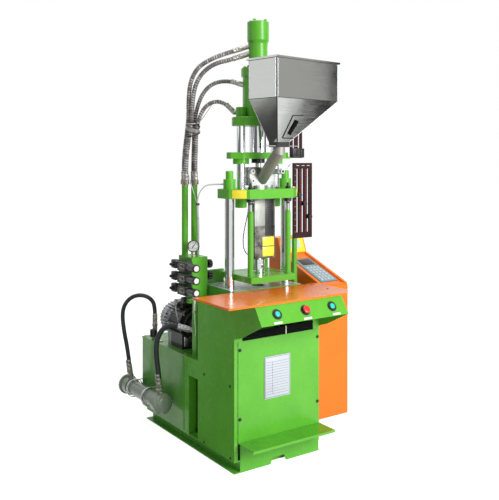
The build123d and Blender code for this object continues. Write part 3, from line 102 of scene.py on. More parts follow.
# %% Helpers for node trees
def add_node(tree, kind, given=None, **settings):
    """A new node with its settings, and what goes on its inputs by name or number."""
    made = tree.nodes.new(kind)
    for key, value in settings.items():
        setattr(made, key, value)
    for key, value in (given or {}).items():
        if hasattr(value, "links"):
            tree.links.new(value, made.inputs[key])
        else:
            made.inputs[key].default_value = value
    return made


def tie(tree, *pairs):
    """Links given as output socket, input socket, and so on."""
    for source, target in zip(pairs[::2], pairs[1::2]):
        tree.links.new(source, target)


def blend_colour(tree, amount, first, second):
    """Mixes two colours."""
    return add_node(tree, "ShaderNodeMix", {0: amount, 6: first, 7: second}, data_type="RGBA").outputs[2]


def sums(tree, how, first, second=0.0, clamp=False):
    """One step of arithmetic."""
    return add_node(tree, "ShaderNodeMath", {0: first, 1: second}, operation=how,
                    use_clamp=clamp).outputs[0]


def spread(tree, value, low, high, start=0.0, end=1.0):
    """Stretches a value from one range to another."""
    return add_node(tree, "ShaderNodeMapRange", {0: value, 1: low, 2: high, 3: start, 4: end}).outputs[0]


def speckle(tree, place, scale, detail=2.0, roughness=0.5):
    """Soft cloud noise read at a place."""
    return add_node(tree, "ShaderNodeTexNoise", {"Vector": place, "Scale": scale, "Detail": detail,
                                                 "Roughness": roughness}).outputs[0]


def new_tree(title, kind, inputs, outputs):
    """An empty group: its tree, what it is given and what it tells."""
    tree = bpy.data.node_groups.new(title, kind)
    for label, sort, *start in inputs:
        socket = tree.interface.new_socket(name=label, in_out="INPUT", socket_type="NodeSocket" + sort)
        if start:
            socket.default_value = start[0]
    for label, sort in outputs:
        tree.interface.new_socket(name=label, in_out="OUTPUT", socket_type="NodeSocket" + sort)
    return tree, tree.nodes.new("NodeGroupInput").outputs, tree.nodes.new("NodeGroupOutput").inputs


def new_finish(title, numbers):
    """A material with plain numbers and colours set straight on its shader."""
    stuff = bpy.data.materials.new(title)
    stuff.use_nodes = True
    skin = stuff.node_tree.nodes["Principled BSDF"]
    for label, value in numbers.items():
        skin.inputs[label].default_value = value
    return stuff, stuff.node_tree, skin


print("helpers ready")


# %% [markdown]
# The machine stands in a white room, as for a catalogue. A large soft lamp on the
# right of the camera lights the front faces, so that the left side falls into shade.
# The floor shows white to the camera and to shiny parts, but keeps the soft shadow.

# %% Floor, world and lamps
FLOOR_GLOW, SHINY_SHARE, ROOM_LIGHT = 0.85, 0.8, 0.24


def stage_sheet(title, corners, finish):
    """A flat sheet between four corners, which belongs to the studio."""
    mesh = bpy.data.meshes.new(title)
    mesh.from_pydata(corners, [], [(0, 1, 2, 3)])
    mesh.materials.append(finish)
    sheet = put(title, mesh)
    sheet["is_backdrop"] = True
    return sheet


def soft_lamp(title, spot, target, size, power):
    """A square soft box that looks at a point."""
    data = bpy.data.lights.new(title, "AREA")
    data.size = size
    data.energy = power
    lamp = put(title, data)
    lamp.location = spot
    lamp.rotation_euler = (Vector(target) - Vector(spot)).to_track_quat("-Z", "Y").to_euler()


pale, tree, skin = new_finish("studio_floor", {"Base Color": (0.78, 0.78, 0.78, 1), "Roughness": 0.9,
                                               "Emission Color": (1, 1, 1, 1)})
rays = tree.nodes.new("ShaderNodeLightPath").outputs
shiny = sums(tree, "MULTIPLY", rays["Is Glossy Ray"], SHINY_SHARE)
seen = sums(tree, "ADD", rays["Is Camera Ray"], shiny)
tie(tree, sums(tree, "MULTIPLY", seen, FLOOR_GLOW), skin.inputs["Emission Strength"])
stage_sheet("studio_floor", [(-30, -30, 0), (30, -30, 0), (30, 30, 0), (-30, 30, 0)], pale)

world = bpy.data.worlds.new("white_room")
bpy.context.scene.world = world
world.use_nodes = True
tree = world.node_tree
sky = tree.nodes["Background"]
rays = tree.nodes.new("ShaderNodeLightPath").outputs
seen = sums(tree, "MAXIMUM", rays["Is Camera Ray"], rays["Is Glossy Ray"])
seen = sums(tree, "MAXIMUM", seen, rays["Is Transmission Ray"])
sky.inputs["Color"].default_value = (1, 1, 1, 1)
tie(tree, spread(tree, seen, 0, 1, ROOM_LIGHT, 1.0), sky.inputs["Strength"])
soft_lamp("front_box", (0.9, -4.2, 2.4), (0, 0, 0.8), 2.2, 215)
soft_lamp("left_box", (-4.4, -0.2, 3.0), (0, 0.2, 1.2), 1.8, 5)
soft_lamp("top_box", (-0.3, 0.2, 4.6), (0, 0, 1.0), 2.4, 48)
print("studio ready")


# %% [markdown]
# Shiny metal needs something dark to reflect, or it looks like plain white plastic.
# Photographers stand black and grey cards beside the set for that. These can't be
# seen by the camera itself; they only show as stripes in chrome and stainless sheet.

# %% Dark cards for the chrome
def dark_card(title, corners, tone=0.01):
    """A flat card between four corners, seen in reflections only."""
    black = new_finish(title, {"Base Color": (0.004, 0.004, 0.004, 1), "Emission Strength": 1.0,
                               "Emission Color": (tone, tone, tone * 0.96, 1)})[0]
    card = stage_sheet(title, corners, black)
    card.visible_camera = card.visible_diffuse = card.visible_shadow = False


dark_card("card_left", [(-2.7, -2.5, 0), (-3.7, -0.4, 0), (-3.7, -0.4, 3.4), (-2.7, -2.5, 3.4)], 0.10)
dark_card("card_side", [(-3.7, -0.4, 0), (-3.5, 2.4, 0), (-3.5, 2.4, 1.7), (-3.7, -0.4, 1.7)], 0.16)
dark_card("card_back", [(-3.5, 2.4, 0), (-1.0, 4.6, 0), (-1.0, 4.6, 1.5), (-3.5, 2.4, 1.5)], 0.62)
dark_card("card_right", [(2.75, -1.93, 0), (3.5, -0.6, 0), (3.5, -0.6, 3.4), (2.75, -1.93, 3.4)])
dark_card("card_high", [(1.3, -3.45, 1.75), (2.75, -1.93, 1.75), (2.75, -1.93, 3.4), (1.3, -3.45, 3.4)], 0.50)
dark_card("card_floor", [(-0.34, -0.9, 0.003), (-0.34, 0.25, 0.003), (-2.4, 4.0, 0.003), (-4.2, 1.9, 0.003)])
print("cards ready")


# %% [markdown]
# ## Finishes
# Sprayed paint is never one flat colour. It pools and thins, has the fine dimples
# called orange peel, and is rubbed paler along corners. One group makes the skin,
# a second finds the corners, and a third lays down oily dust. Every paint uses them
# with its own numbers, so a change to one effect reaches the whole machine.

# %% Effect: paint skin
tree, given, told = new_tree(
    "paint_skin", "ShaderNodeTree",
    [("Place", "Vector"), ("Colour", "Color", (1, 1, 1, 1)), ("Deep", "Color", (0, 0, 0, 1)),
     ("Mottle", "Float", 0.2), ("Gloss", "Float", 0.25)],
    [("Colour", "Color"), ("Roughness", "Float"), ("Height", "Float")])
place = given["Place"]
cloud = spread(tree, speckle(tree, place, 7.0, 4.0), 0.35, 0.7)
drift = sums(tree, "MULTIPLY", cloud, given["Mottle"])
patch = spread(tree, speckle(tree, place, 23.0, 3.0), 0.3, 0.7, -0.04, 0.08)
peel, wave = speckle(tree, place, 420.0, 1.0), speckle(tree, place, 60.0, 1.0)
tie(tree, blend_colour(tree, drift, given["Colour"], given["Deep"]), told["Colour"],
    sums(tree, "ADD", given["Gloss"], patch), told["Roughness"],
    sums(tree, "ADD", peel, wave), told["Height"])
skin_effect = tree
print(tree.name, len(tree.nodes), "nodes")


# %% Effect: rubbed corners
tree, given, told = new_tree("rubbed_corners", "ShaderNodeTree",
                             [("Place", "Vector"), ("Width", "Float", 0.002)], [("Mask", "Float")])
rounded = add_node(tree, "ShaderNodeBevel", {"Radius": given["Width"]}, samples=4).outputs[0]
normal = tree.nodes.new("ShaderNodeNewGeometry").outputs["Normal"]
facing = add_node(tree, "ShaderNodeVectorMath", {0: rounded, 1: normal}, operation="DOT_PRODUCT")
edge = spread(tree, facing.outputs["Value"], 0.985, 0.90)
chips = spread(tree, speckle(tree, given["Place"], 90.0, 5.0, 0.7), 0.44, 0.62)
tie(tree, sums(tree, "MULTIPLY", edge, chips, True), told["Mask"])
corner_effect = tree
print(tree.name, len(tree.nodes), "nodes")


# %% Effect: oily dust
tree, given, told = new_tree("oily_dust", "ShaderNodeTree",
                             [("Place", "Vector"), ("Amount", "Float", 0.3)], [("Mask", "Float")])
normal = tree.nodes.new("ShaderNodeNewGeometry").outputs["Normal"]
split = add_node(tree, "ShaderNodeSeparateXYZ", {0: normal})
upward = spread(tree, split.outputs["Z"], 0.3, 1.0, 0.35, 1.0)
stain = spread(tree, speckle(tree, given["Place"], 11.0, 6.0, 0.62), 0.46, 0.74)
both = sums(tree, "MULTIPLY", upward, stain)
tie(tree, sums(tree, "MULTIPLY", both, given["Amount"], True), told["Mask"])
dust_effect = tree
print(tree.name, len(tree.nodes), "nodes")


# %% [markdown]
# Bare metal is marked by the tool that finished it. Grinding and brushing leave
# long fine streaks, so this group squeezes its noise hard across one direction.

# %% Effect: brushed grain
tree, given, told = new_tree(
    "brushed_grain", "ShaderNodeTree",
    [("Place", "Vector"), ("Squeeze", "Vector", (1, 1, 1)), ("Dull", "Float", 0.2)],
    [("Streak", "Float"), ("Roughness", "Float")])
squeezed = add_node(tree, "ShaderNodeVectorMath", {0: given["Place"], 1: given["Squeeze"]},
                    operation="MULTIPLY")
streak = speckle(tree, squeezed.outputs[0], 1.0, 4.0, 0.6)
smear = spread(tree, speckle(tree, given["Place"], 9.0, 3.0), 0.3, 0.7, -0.03, 0.05)
dull = sums(tree, "ADD", given["Dull"], spread(tree, streak, 0.3, 0.7, -0.05, 0.07))
tie(tree, streak, told["Streak"], sums(tree, "ADD", dull, smear), told["Roughness"])
grain_effect = tree
print(tree.name, len(tree.nodes), "nodes")


# %% [markdown]
# Three recipes turn those effects into finishes: sprayed paint, bare metal, and
# moulded plastic or rubber. The shader itself stays in the material, and each
# number that is the same all over is set straight on its socket.

# %% Recipes
finishes = {}


def place_effect(tree, effect, place, **given):
    """Drops an effect into a material, with its own values, and gives its outputs."""
    return add_node(tree, "ShaderNodeGroup", {"Place": place, **given}, node_tree=effect).outputs


def begin_finish(title, numbers):
    """A new finish: its tree, its shader and its Object coordinates."""
    stuff, tree, skin = new_finish(title, numbers)
    finishes[title] = stuff
    return tree, skin, tree.nodes.new("ShaderNodeTexCoord").outputs["Object"]


def soiled(tree, place, amount, colour, soil):
    """Oily dust over a colour: the dust's mask, and the dirty colour."""
    mask = place_effect(tree, dust_effect, place, Amount=amount)["Mask"]
    return mask, blend_colour(tree, mask, colour, (*soil, 1))


def lay(tree, skin, colour, rough, height, strength, depth):
    """Ties a colour, a roughness and a bumpy height to the shader."""
    bump = add_node(tree, "ShaderNodeBump", {"Height": height, "Strength": strength, "Distance": depth})
    tie(tree, colour, skin.inputs["Base Color"], rough, skin.inputs["Roughness"],
        bump.outputs[0], skin.inputs["Normal"])


def sprayed(title, colour, deep, bare, gloss=0.22, mottle=0.5, wear=0.002, dust=0.25, coat=0.35,
            shine=0.5):
    """Paint on steel, rubbed at its corners and a little dusty on top."""
    tree, skin, place = begin_finish(title, {"Coat Weight": coat, "Coat Roughness": 0.06,
                                             "Specular IOR Level": shine})
    film = place_effect(tree, skin_effect, place, Colour=(*colour, 1), Deep=(*deep, 1), Mottle=mottle,
                        Gloss=gloss)
    corners = place_effect(tree, corner_effect, place, Width=wear)["Mask"]
    rubbed = blend_colour(tree, corners, film["Colour"], (*bare, 1))
    mask, dirty = soiled(tree, place, dust, rubbed, (0.10, 0.09, 0.06))
    rough = sums(tree, "ADD", film["Roughness"], sums(tree, "MULTIPLY", mask, 0.5))
    lay(tree, skin, dirty, rough, film["Height"], 0.25, 0.0004)
    return finishes[title]


def bare_metal(title, colour, deep, dull, squeeze, depth=0.0002, strength=0.15, dust=0.12, metallic=1.0):
    """Ground, brushed or plated metal with streaks along its working direction."""
    tree, skin, place = begin_finish(title, {"Metallic": metallic})
    grain = place_effect(tree, grain_effect, place, Squeeze=squeeze, Dull=dull)
    tone = spread(tree, grain["Streak"], 0.3, 0.7)
    metal = blend_colour(tree, tone, (*colour, 1), (*deep, 1))
    dirty = soiled(tree, place, dust, metal, (0.06, 0.055, 0.045))[1]
    lay(tree, skin, dirty, grain["Roughness"], grain["Streak"], strength, depth)
    return finishes[title]


def moulded(title, colour, deep, dull=0.35, mottle=0.4, grain=900.0, depth=0.0002, dust=0.2, coat=0.0,
            shine=0.5):
    """Plastic or rubber: even colour, fine moulded grain, a trace of dust."""
    tree, skin, place = begin_finish(title, {"Coat Weight": coat, "Specular IOR Level": shine})
    film = place_effect(tree, skin_effect, place, Colour=(*colour, 1), Deep=(*deep, 1), Mottle=mottle,
                        Gloss=dull)
    dirty = soiled(tree, place, dust, film["Colour"], (0.16, 0.15, 0.13))[1]
    lay(tree, skin, dirty, film["Roughness"], speckle(tree, place, grain), 0.3, depth)
    return finishes[title]


print("recipes ready")


# %% [markdown]
# The greens and oranges are stove enamel with a hard shine. The colour in the deep
# patches is a little darker and bluer, which keeps large panels from looking flat.

# %% Paints
green_enamel = sprayed("green_enamel", (0.125, 0.49, 0.036), (0.090, 0.40, 0.022), (0.30, 0.58, 0.20),
                       coat=0.05, shine=0.3)
green_dusty = sprayed("green_dusty", (0.105, 0.40, 0.040), (0.06, 0.29, 0.022), (0.30, 0.5, 0.2), gloss=0.3,
                      dust=0.55, coat=0.15)
orange_enamel = sprayed("orange_enamel", (0.96, 0.20, 0.006), (0.90, 0.155, 0.004), (0.95, 0.42, 0.15),
                        gloss=0.20, mottle=0.35, dust=0.10, coat=0.08, shine=0.25)
grey_enamel = sprayed("grey_green_enamel", (0.29, 0.35, 0.27), (0.21, 0.27, 0.20), (0.46, 0.50, 0.42),
                      gloss=0.26, mottle=0.8, dust=0.3)
rack_enamel = sprayed("oxblood_enamel", (0.032, 0.006, 0.007), (0.018, 0.003, 0.005), (0.16, 0.06, 0.05),
                      gloss=0.40, wear=0.0008, coat=0.0, shine=0.2)
motor_enamel = sprayed("motor_enamel", (0.016, 0.017, 0.016), (0.010, 0.011, 0.010), (0.10, 0.10, 0.10),
                       gloss=0.35, dust=0.25, shine=0.3)
valve_enamel = sprayed("valve_enamel", (0.022, 0.024, 0.024), (0.012, 0.013, 0.013), (0.16, 0.16, 0.16),
                       gloss=0.38, wear=0.0015, dust=0.5)
print(len(finishes), "finishes so far")


# %% [markdown]
# Chrome rods are ground round and round before plating, so their streaks run across
# the rod and hardly show. Stainless sheet is brushed along its length and looks
# grey. The feed tube is the same steel, darkened by the warmth of the barrel.

# %% Metals
ROUND_GRIND = (60, 60, 1400)
LONG_BRUSH = (9, 9, 900)
chrome = bare_metal("hard_chrome", (0.80, 0.81, 0.82), (0.72, 0.73, 0.75), 0.07, ROUND_GRIND, 0.00005, 0.08,
                    dust=0.05)
stainless = bare_metal("stainless_sheet", (0.60, 0.61, 0.59), (0.55, 0.56, 0.54), 0.11, LONG_BRUSH,
                       0.00004, 0.06, dust=0.03)
warm_steel = bare_metal("warmed_steel", (0.36, 0.355, 0.33), (0.24, 0.235, 0.215), 0.48, (700, 700, 12),
                        dust=0.2, metallic=0.35)
ground_steel = bare_metal("ground_steel", (0.66, 0.68, 0.66), (0.56, 0.58, 0.56), 0.26, (12, 900, 900),
                          dust=0.2)
dark_steel = bare_metal("blackened_steel", (0.055, 0.055, 0.06), (0.03, 0.03, 0.033), 0.34, (400, 400, 400),
                        metallic=0.9)
zinc_plate = bare_metal("zinc_plate", (0.66, 0.64, 0.52), (0.52, 0.50, 0.38), 0.30, (240, 240, 240),
                        metallic=0.85)
worn_zinc = bare_metal("worn_zinc", (0.62, 0.61, 0.57), (0.20, 0.18, 0.16), 0.36, (90, 90, 90), dust=0.3,
                       metallic=0.8)
brass = bare_metal("brass", (0.72, 0.53, 0.24), (0.58, 0.41, 0.16), 0.28, (300, 300, 300))
cast_alloy = bare_metal("cast_alloy", (0.62, 0.64, 0.66), (0.46, 0.48, 0.50), 0.42, (300, 300, 300), 0.0004,
                        0.4, metallic=0.9)
print(len(finishes), "finishes so far")

# %% Plastics, rubber and films
black_plastic = moulded("black_plastic", (0.012, 0.012, 0.013), (0.02, 0.02, 0.022), 0.36)
black_rubber = moulded("black_rubber", (0.006, 0.006, 0.006), (0.010, 0.010, 0.010), 0.8, dust=0.02,
                       shine=0.05)
teal_film = moulded("teal_film", (0.20, 0.36, 0.36), (0.15, 0.28, 0.29), 0.3, dust=0.05, coat=0.3)
pink_tag = moulded("pink_tag", (0.62, 0.16, 0.14), (0.42, 0.08, 0.07), 0.4, dust=0.05)
plate_film = moulded("plate_film", (0.60, 0.63, 0.70), (0.54, 0.57, 0.64), 0.4, dust=0.06)
hose_rubber = moulded("hose_rubber", (0.020, 0.026, 0.028), (0.035, 0.042, 0.044), 0.42, 0.8, 500.0,
                      dust=0.35)
green_lens = moulded("green_lens", (0.005, 0.66, 0.52), (0.004, 0.55, 0.42), 0.2, coat=0.6, dust=0.05)
red_lens = moulded("red_lens", (0.78, 0.025, 0.018), (0.62, 0.016, 0.012), 0.22, coat=0.6, dust=0.05)
white_tag = moulded("white_tag", (0.82, 0.83, 0.80), (0.74, 0.75, 0.72), 0.4, dust=0.08)
yellow_tag = moulded("yellow_tag", (0.95, 0.80, 0.05), (0.90, 0.72, 0.04), 0.3, dust=0.05, coat=0.3)
ivory_cap = moulded("ivory_cap", (0.86, 0.84, 0.82), (0.74, 0.72, 0.70), 0.3, dust=0.15)
slate_film = moulded("slate_film", (0.11, 0.15, 0.16), (0.08, 0.11, 0.12), 0.34, dust=0.1, coat=0.2)
print(len(finishes), "finishes so far")


# %% [markdown]
# Clear tube and gauge glass share one shader. A clear wall this thin hardly bends
# light, so the tube stays whitish, as nylon oil line does.

# %% Clear stuff
def see_through(title, colour, cloudy, clear):
    """Clear plastic or glass; the cloudier, the more it scatters."""
    tree, skin, place = begin_finish(title, {"Base Color": (*colour, 1), "Transmission Weight": clear,
                                             "IOR": 1.45})
    haze = spread(tree, speckle(tree, place, 35.0, 3.0), 0.3, 0.7, cloudy * 0.7, cloudy * 1.2)
    tie(tree, haze, skin.inputs["Roughness"])
    return finishes[title]


milky_tube = see_through("milky_tube", (0.78, 0.82, 0.80), 0.35, 0.2)
glass = see_through("dial_glass", (0.95, 0.98, 0.97), 0.03, 0.95)


# %% [markdown]
# Some parts were modelled whole although the real ones change finish half-way: a
# ground top on a painted casting, a plated end on a painted post. A copy of the
# finish turns into another past a plane. It reads the same Object place as before.

# %% Finishes that change at a plane
EASE = 0.001


def past_plane(title, finish, axis, edge, beyond, colour, deep, dull, metallic, grain=70.0, flat=False):
    """A copy of a finish that turns into another beyond a plane, or only on its level faces."""
    stuff = finish.copy()
    stuff.name = title
    finishes[title] = stuff
    tree = stuff.node_tree
    skin = tree.nodes["Principled BSDF"].inputs
    place = next(node for node in tree.nodes if node.bl_idname == "ShaderNodeTexCoord").outputs["Object"]
    across = add_node(tree, "ShaderNodeSeparateXYZ", {0: place}).outputs[axis]
    mask = spread(tree, across, edge - beyond * EASE, edge + beyond * EASE)
    if flat:
        normal = tree.nodes.new("ShaderNodeNewGeometry").outputs["Normal"]
        level = add_node(tree, "ShaderNodeSeparateXYZ", {0: normal}).outputs["Z"]
        mask = sums(tree, "MULTIPLY", mask, spread(tree, level, 0.90, 0.95))
    cast = spread(tree, speckle(tree, place, grain, 5.0, 0.65), 0.38, 0.66)
    other = blend_colour(tree, cast, (*colour, 1), (*deep, 1))
    old_colour, old_rough = (skin[name].links[0].from_socket for name in ("Base Color", "Roughness"))
    kept = sums(tree, "MULTIPLY", old_rough, sums(tree, "SUBTRACT", 1.0, mask))
    tie(tree, blend_colour(tree, mask, old_colour, other), skin["Base Color"],
        sums(tree, "ADD", kept, sums(tree, "MULTIPLY", mask, dull)), skin["Roughness"],
        spread(tree, mask, 0, 1, skin["Metallic"].default_value, metallic), skin["Metallic"])
    return stuff


dull_cover = bare_metal("tinned_cover", (0.30, 0.31, 0.29), (0.21, 0.22, 0.20), 0.46, (700, 700, 30),
                        dust=0.1, metallic=0.6)
ground_top = past_plane("ground_top", green_dusty, "Z", 0.8340, 1, (0.86, 0.88, 0.89), (0.30, 0.31, 0.31),
                        0.34, 0.5, 45.0, flat=True)
footed_rack = past_plane("footed_rack", rack_enamel, "Z", 1.065, -1, (0.115, 0.44, 0.04), (0.08, 0.36, 0.025),
                         0.3, 0.0)
plated_strap = past_plane("plated_strap", green_dusty, "X", -0.320, -1, (0.66, 0.65, 0.60),
                          (0.45, 0.44, 0.40), 0.34, 0.85)
heated_cover = past_plane("heated_cover", dull_cover, "Z", 1.150, -1, (0.27, 0.27, 0.25),
                          (0.045, 0.042, 0.038), 0.4, 0.5, 26.0)
threaded_post = past_plane("threaded_post", green_enamel, "Z", 1.2235, 1, (0.74, 0.75, 0.76),
                           (0.60, 0.61, 0.62), 0.14, 1.0)
collared_tube = past_plane("collared_tube", warm_steel, "Z", 1.554, 1, (0.02, 0.02, 0.02),
                           (0.03, 0.03, 0.03), 0.4, 0.1)
finned_motor = past_plane("finned_motor", motor_enamel, "Y", 0.470, 1, (0.50, 0.52, 0.53),
                          (0.26, 0.27, 0.28), 0.5, 0.7)
shaded_riser = past_plane("shaded_riser", green_enamel, "Z", 1.352, 1, (0.42, 0.40, 0.32),
                          (0.14, 0.14, 0.11), 0.4, 0.6, 120.0)
print(len(finishes), "finishes so far")


# %% [markdown]
# Each bare part now takes its finish. A part that was modelled in one piece keeps
# its own mesh; only its material slots change.

# %% Dress the bare parts
WARDROBE = {
    green_enamel: "base_frame cabinet_shell front_panel button_panel clamp_cylinder clamp_crosshead "
                  "head_plate column_caps top_plate injection_cylinder injection_plate mould_plate manifold",
    green_dusty: "oil_tank",
    ground_top: "fixed_platen",
    plated_strap: "cooler_straps",
    threaded_post: "cage_posts",
    shaded_riser: "riser_pipes",
    orange_enamel: "table_top electrical_cabinet cabinet_door",
    chrome: "tie_bars guide_columns piston_rod",
    stainless: "hopper hopper_gate",
    heated_cover: "barrel_cover",
    collared_tube: "feed_tube",
    ground_steel: "feed_block barrel screw",
    dark_steel: "coupling",
    worn_zinc: "hose_fittings cylinder_ports",
    brass: "pressure_gauge",
    grey_enamel: "oil_cooler",
    footed_rack: "limit_rack",
    rack_enamel: "injection_rack",
    finned_motor: "pump_motor",
    valve_enamel: "solenoid_valves",
    black_plastic: "button_rings relief_knob_upper relief_knob_lower star_knob breather_cap gauge_needle "
                   "rack_slider_left rack_slider_middle rack_slider_right",
    green_lens: "start_button_left start_button_right",
    red_lens: "stop_button",
    hose_rubber: "cooler_hose_front cooler_hose_rear motor_hose_upper motor_hose_lower "
                 "injection_hose_upper injection_hose_lower heater_cable",
    milky_tube: "lube_tube",
}
for finish, names in WARDROBE.items():
    for name in names.split():
        mesh = parts[name].data
        mesh.materials.clear()
        mesh.materials.append(finish)
undressed = sorted(set(parts) - set(" ".join(WARDROBE.values()).split()))
print("undressed parts:", undressed)


# %% [markdown]
# ## Small pieces
# The real machine carries dozens of screws, tubes and plates that are too small for
# the bare model. A lathe and a box with eased edges make most of them. Both work in
# millimetres, like the drawing, and put each point where it belongs straight away.

# %% Helpers for small pieces
CLAMP = "clamp_frame"
FRONT, BACK, LEFT, UP, DOWN = (0, -1, 0), (0, 1, 0), (-1, 0, 0), (0, 0, 1), (0, 0, -1)


def keep(title, mesh, body):
    """Makes a finished mesh a piece; it rides on its body, if one is given."""
    piece = put(title, mesh)
    if body is not None:
        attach(piece, body)
    return piece


def turned(profile, spot, axis=(0, 0, 1), steps=36):
    """A closed solid turned from (radius, height) pairs, standing on a spot."""
    mesh = bpy.data.meshes.new("turned")
    shape = bmesh.new()
    rings = []
    for radius, height in profile:
        count = steps if radius else 1
        rings.append([shape.verts.new((radius * MM * cos(2 * pi * k / count),
                                       radius * MM * sin(2 * pi * k / count), height * MM))
                      for k in range(count)])
    for lower, upper in zip(rings, rings[1:]):
        for k in range(steps):
            ring = [lower[k % len(lower)], lower[(k + 1) % len(lower)],
                    upper[(k + 1) % len(upper)], upper[k % len(upper)]]
            corners = list(dict.fromkeys(ring))
            if len(corners) > 2:
                shape.faces.new(corners)
    bmesh.ops.remove_doubles(shape, verts=shape.verts, dist=1e-6)
    bmesh.ops.recalc_face_normals(shape, faces=shape.faces)
    stand = Vector(axis).to_track_quat("Z", "Y").to_matrix().to_4x4()
    shape.transform(Matrix.Translation(Vector(spot) * MM) @ stand)
    shape.to_mesh(mesh)
    shape.free()
    mesh.shade_smooth()
    mesh.set_sharp_from_angle(angle=radians(32))
    return mesh


def slab(low, high, ease=1.0, place=None):
    """A box between two corners with eased edges; a matrix may set it on a slope."""
    low, high = Vector(low) * MM, Vector(high) * MM
    mesh = bpy.data.meshes.new("slab")
    shape = bmesh.new()
    bmesh.ops.create_cube(shape, size=1.0)
    bmesh.ops.scale(shape, vec=high - low, verts=shape.verts)
    bmesh.ops.translate(shape, vec=(high + low) / 2, verts=shape.verts)
    bmesh.ops.bevel(shape, geom=list(shape.edges), offset=ease * MM, segments=2, profile=0.5, affect="EDGES")
    if place is not None:
        shape.transform(place)
    shape.to_mesh(mesh)
    shape.free()
    mesh.shade_smooth()
    mesh.set_sharp_from_angle(angle=radians(50))
    return mesh


def joined(title, body, *groups):
    """One piece; each group is a finish, then the meshes that wear it."""
    mesh = bpy.data.meshes.new(title)
    whole = bmesh.new()
    for number, (finish, *shapes) in enumerate(groups):
        mesh.materials.append(finish)
        for shape in shapes:
            first = len(whole.faces)
            whole.from_mesh(shape)
            whole.faces.ensure_lookup_table()
            for face in whole.faces[first:]:
                face.material_index = number
            bpy.data.meshes.remove(shape)
    whole.to_mesh(mesh)
    whole.free()
    return keep(title, mesh, body)


print("piece helpers ready")


# %% [markdown]
# Geometry Nodes are recipes for shapes, as shader nodes are for finishes. Each tree
# below is fed with loose points or a line, grows something on it, and ends by making
# the copies real and painting them. The result is kept as a plain mesh.

# %% Helpers for geometry trees
def grow(title, source, tree, body="root", **sizes):
    """Runs a tree on a source object, keeps the plain result and drops the source."""
    recipe = source.modifiers.new(title, "NODES")
    recipe.node_group = tree
    for socket in tree.interface.items_tree:
        if socket.in_out == "INPUT" and socket.name in sizes:
            recipe[socket.identifier] = sizes[socket.name]
    graph = bpy.context.evaluated_depsgraph_get()
    mesh = bpy.data.meshes.new_from_object(source.evaluated_get(graph), preserve_all_data_layers=True,
                                           depsgraph=graph)
    mesh.name = title
    source.modifiers.remove(recipe)
    bpy.data.objects.remove(source)
    return keep(title, mesh, body)


def marks(spots, facing):
    """Loose points, each of which knows the way that it faces."""
    mesh = bpy.data.meshes.new("marks")
    mesh.from_pydata([Vector(spot) * MM for spot in spots], [], [])
    ways = [facing] * len(spots) if isinstance(facing[0], (int, float)) else facing
    layer = mesh.attributes.new("facing", "FLOAT_VECTOR", "POINT")
    for item, way in zip(layer.data, ways):
        item.vector = way
    return put("marks", mesh)


def set_on_points(tree, points, shape, turner, way_input, **settings):
    """Sets a shape on every point, turned as the point says, and makes the copies real."""
    known = add_node(tree, "GeometryNodeInputNamedAttribute", {"Name": "facing"}, data_type="FLOAT_VECTOR")
    turn = add_node(tree, turner, {way_input: known.outputs[0]}, **settings)
    copies = add_node(tree, "GeometryNodeInstanceOnPoints",
                      {"Points": points, "Instance": shape, "Rotation": turn.outputs[0]})
    return add_node(tree, "GeometryNodeRealizeInstances", {0: copies.outputs[0]}).outputs[0]


def paint(tree, shape, finish, **chosen):
    """Gives a shape its finish, everywhere or only where it is chosen."""
    return add_node(tree, "GeometryNodeSetMaterial", {0: shape, "Material": finish, **chosen}).outputs[0]


print("geometry helpers ready")


# %% [markdown]
# Every screw on the machine is the same recipe: a washer, a head with a drawn-in
# top edge, and a dark socket in the middle. Six sides make a hexagon bolt, sixteen a
# round socket head. Only the places and the sizes differ.

# %% Tree: screw heads
tree, given, told = new_tree(
    "screw_heads", "GeometryNodeTree",
    [("Places", "Geometry"), ("Radius", "Float", 0.005), ("Height", "Float", 0.004), ("Sides", "Int", 16),
     ("Washer", "Float", 1.3), ("Socket", "Float", 0.45), ("Finish", "Material"), ("Dark", "Material")],
    [("Geometry", "Geometry")])


def stub(sides, foot, top, tall):
    """A cone cut short; its sizes are shares of the screw's radius and height."""
    return add_node(tree, "GeometryNodeMeshCone", {
        "Vertices": sides, "Radius Bottom": sums(tree, "MULTIPLY", given["Radius"], foot),
        "Radius Top": sums(tree, "MULTIPLY", given["Radius"], top),
        "Depth": sums(tree, "MULTIPLY", given["Height"], tall)}).outputs[0]


hole = paint(tree, stub(6, given["Socket"], given["Socket"], 1.04), given["Dark"])
bundle = tree.nodes.new("GeometryNodeJoinGeometry")
for shape in (hole, stub(given["Sides"], 1.0, 0.86, 1.0), stub(20, given["Washer"], given["Washer"], 0.25)):
    tree.links.new(shape, bundle.inputs[0])
real = set_on_points(tree, given["Places"], bundle.outputs[0], "FunctionNodeAlignRotationToVector",
                     "Vector", axis="Z")
is_dark = add_node(tree, "GeometryNodeMaterialSelection", {0: given["Dark"]}).outputs[0]
is_bright = add_node(tree, "FunctionNodeBooleanMath", {0: is_dark}, operation="NOT").outputs[0]
tie(tree, paint(tree, real, given["Finish"], Selection=is_bright), told[0])
screw_tree = tree
print(tree.name, len(tree.nodes), "nodes")


def screws(title, spots, facing, radius, height, finish, body="root", sides=16):
    """Screw heads at places given in millimetres."""
    return grow(title, marks(spots, facing), screw_tree, body, Radius=radius * MM, Height=height * MM,
                Sides=sides, Washer=1.3, Socket=0.45, Finish=finish, Dark=black_plastic)


# %% [markdown]
# Fins, louvres, keys, ticks and dashes are all small blocks in rows. This tree sets
# one block on each point. The block is a four-sided cone cut short, so that its top
# is a little smaller than its foot, as pressed and cast pieces are.

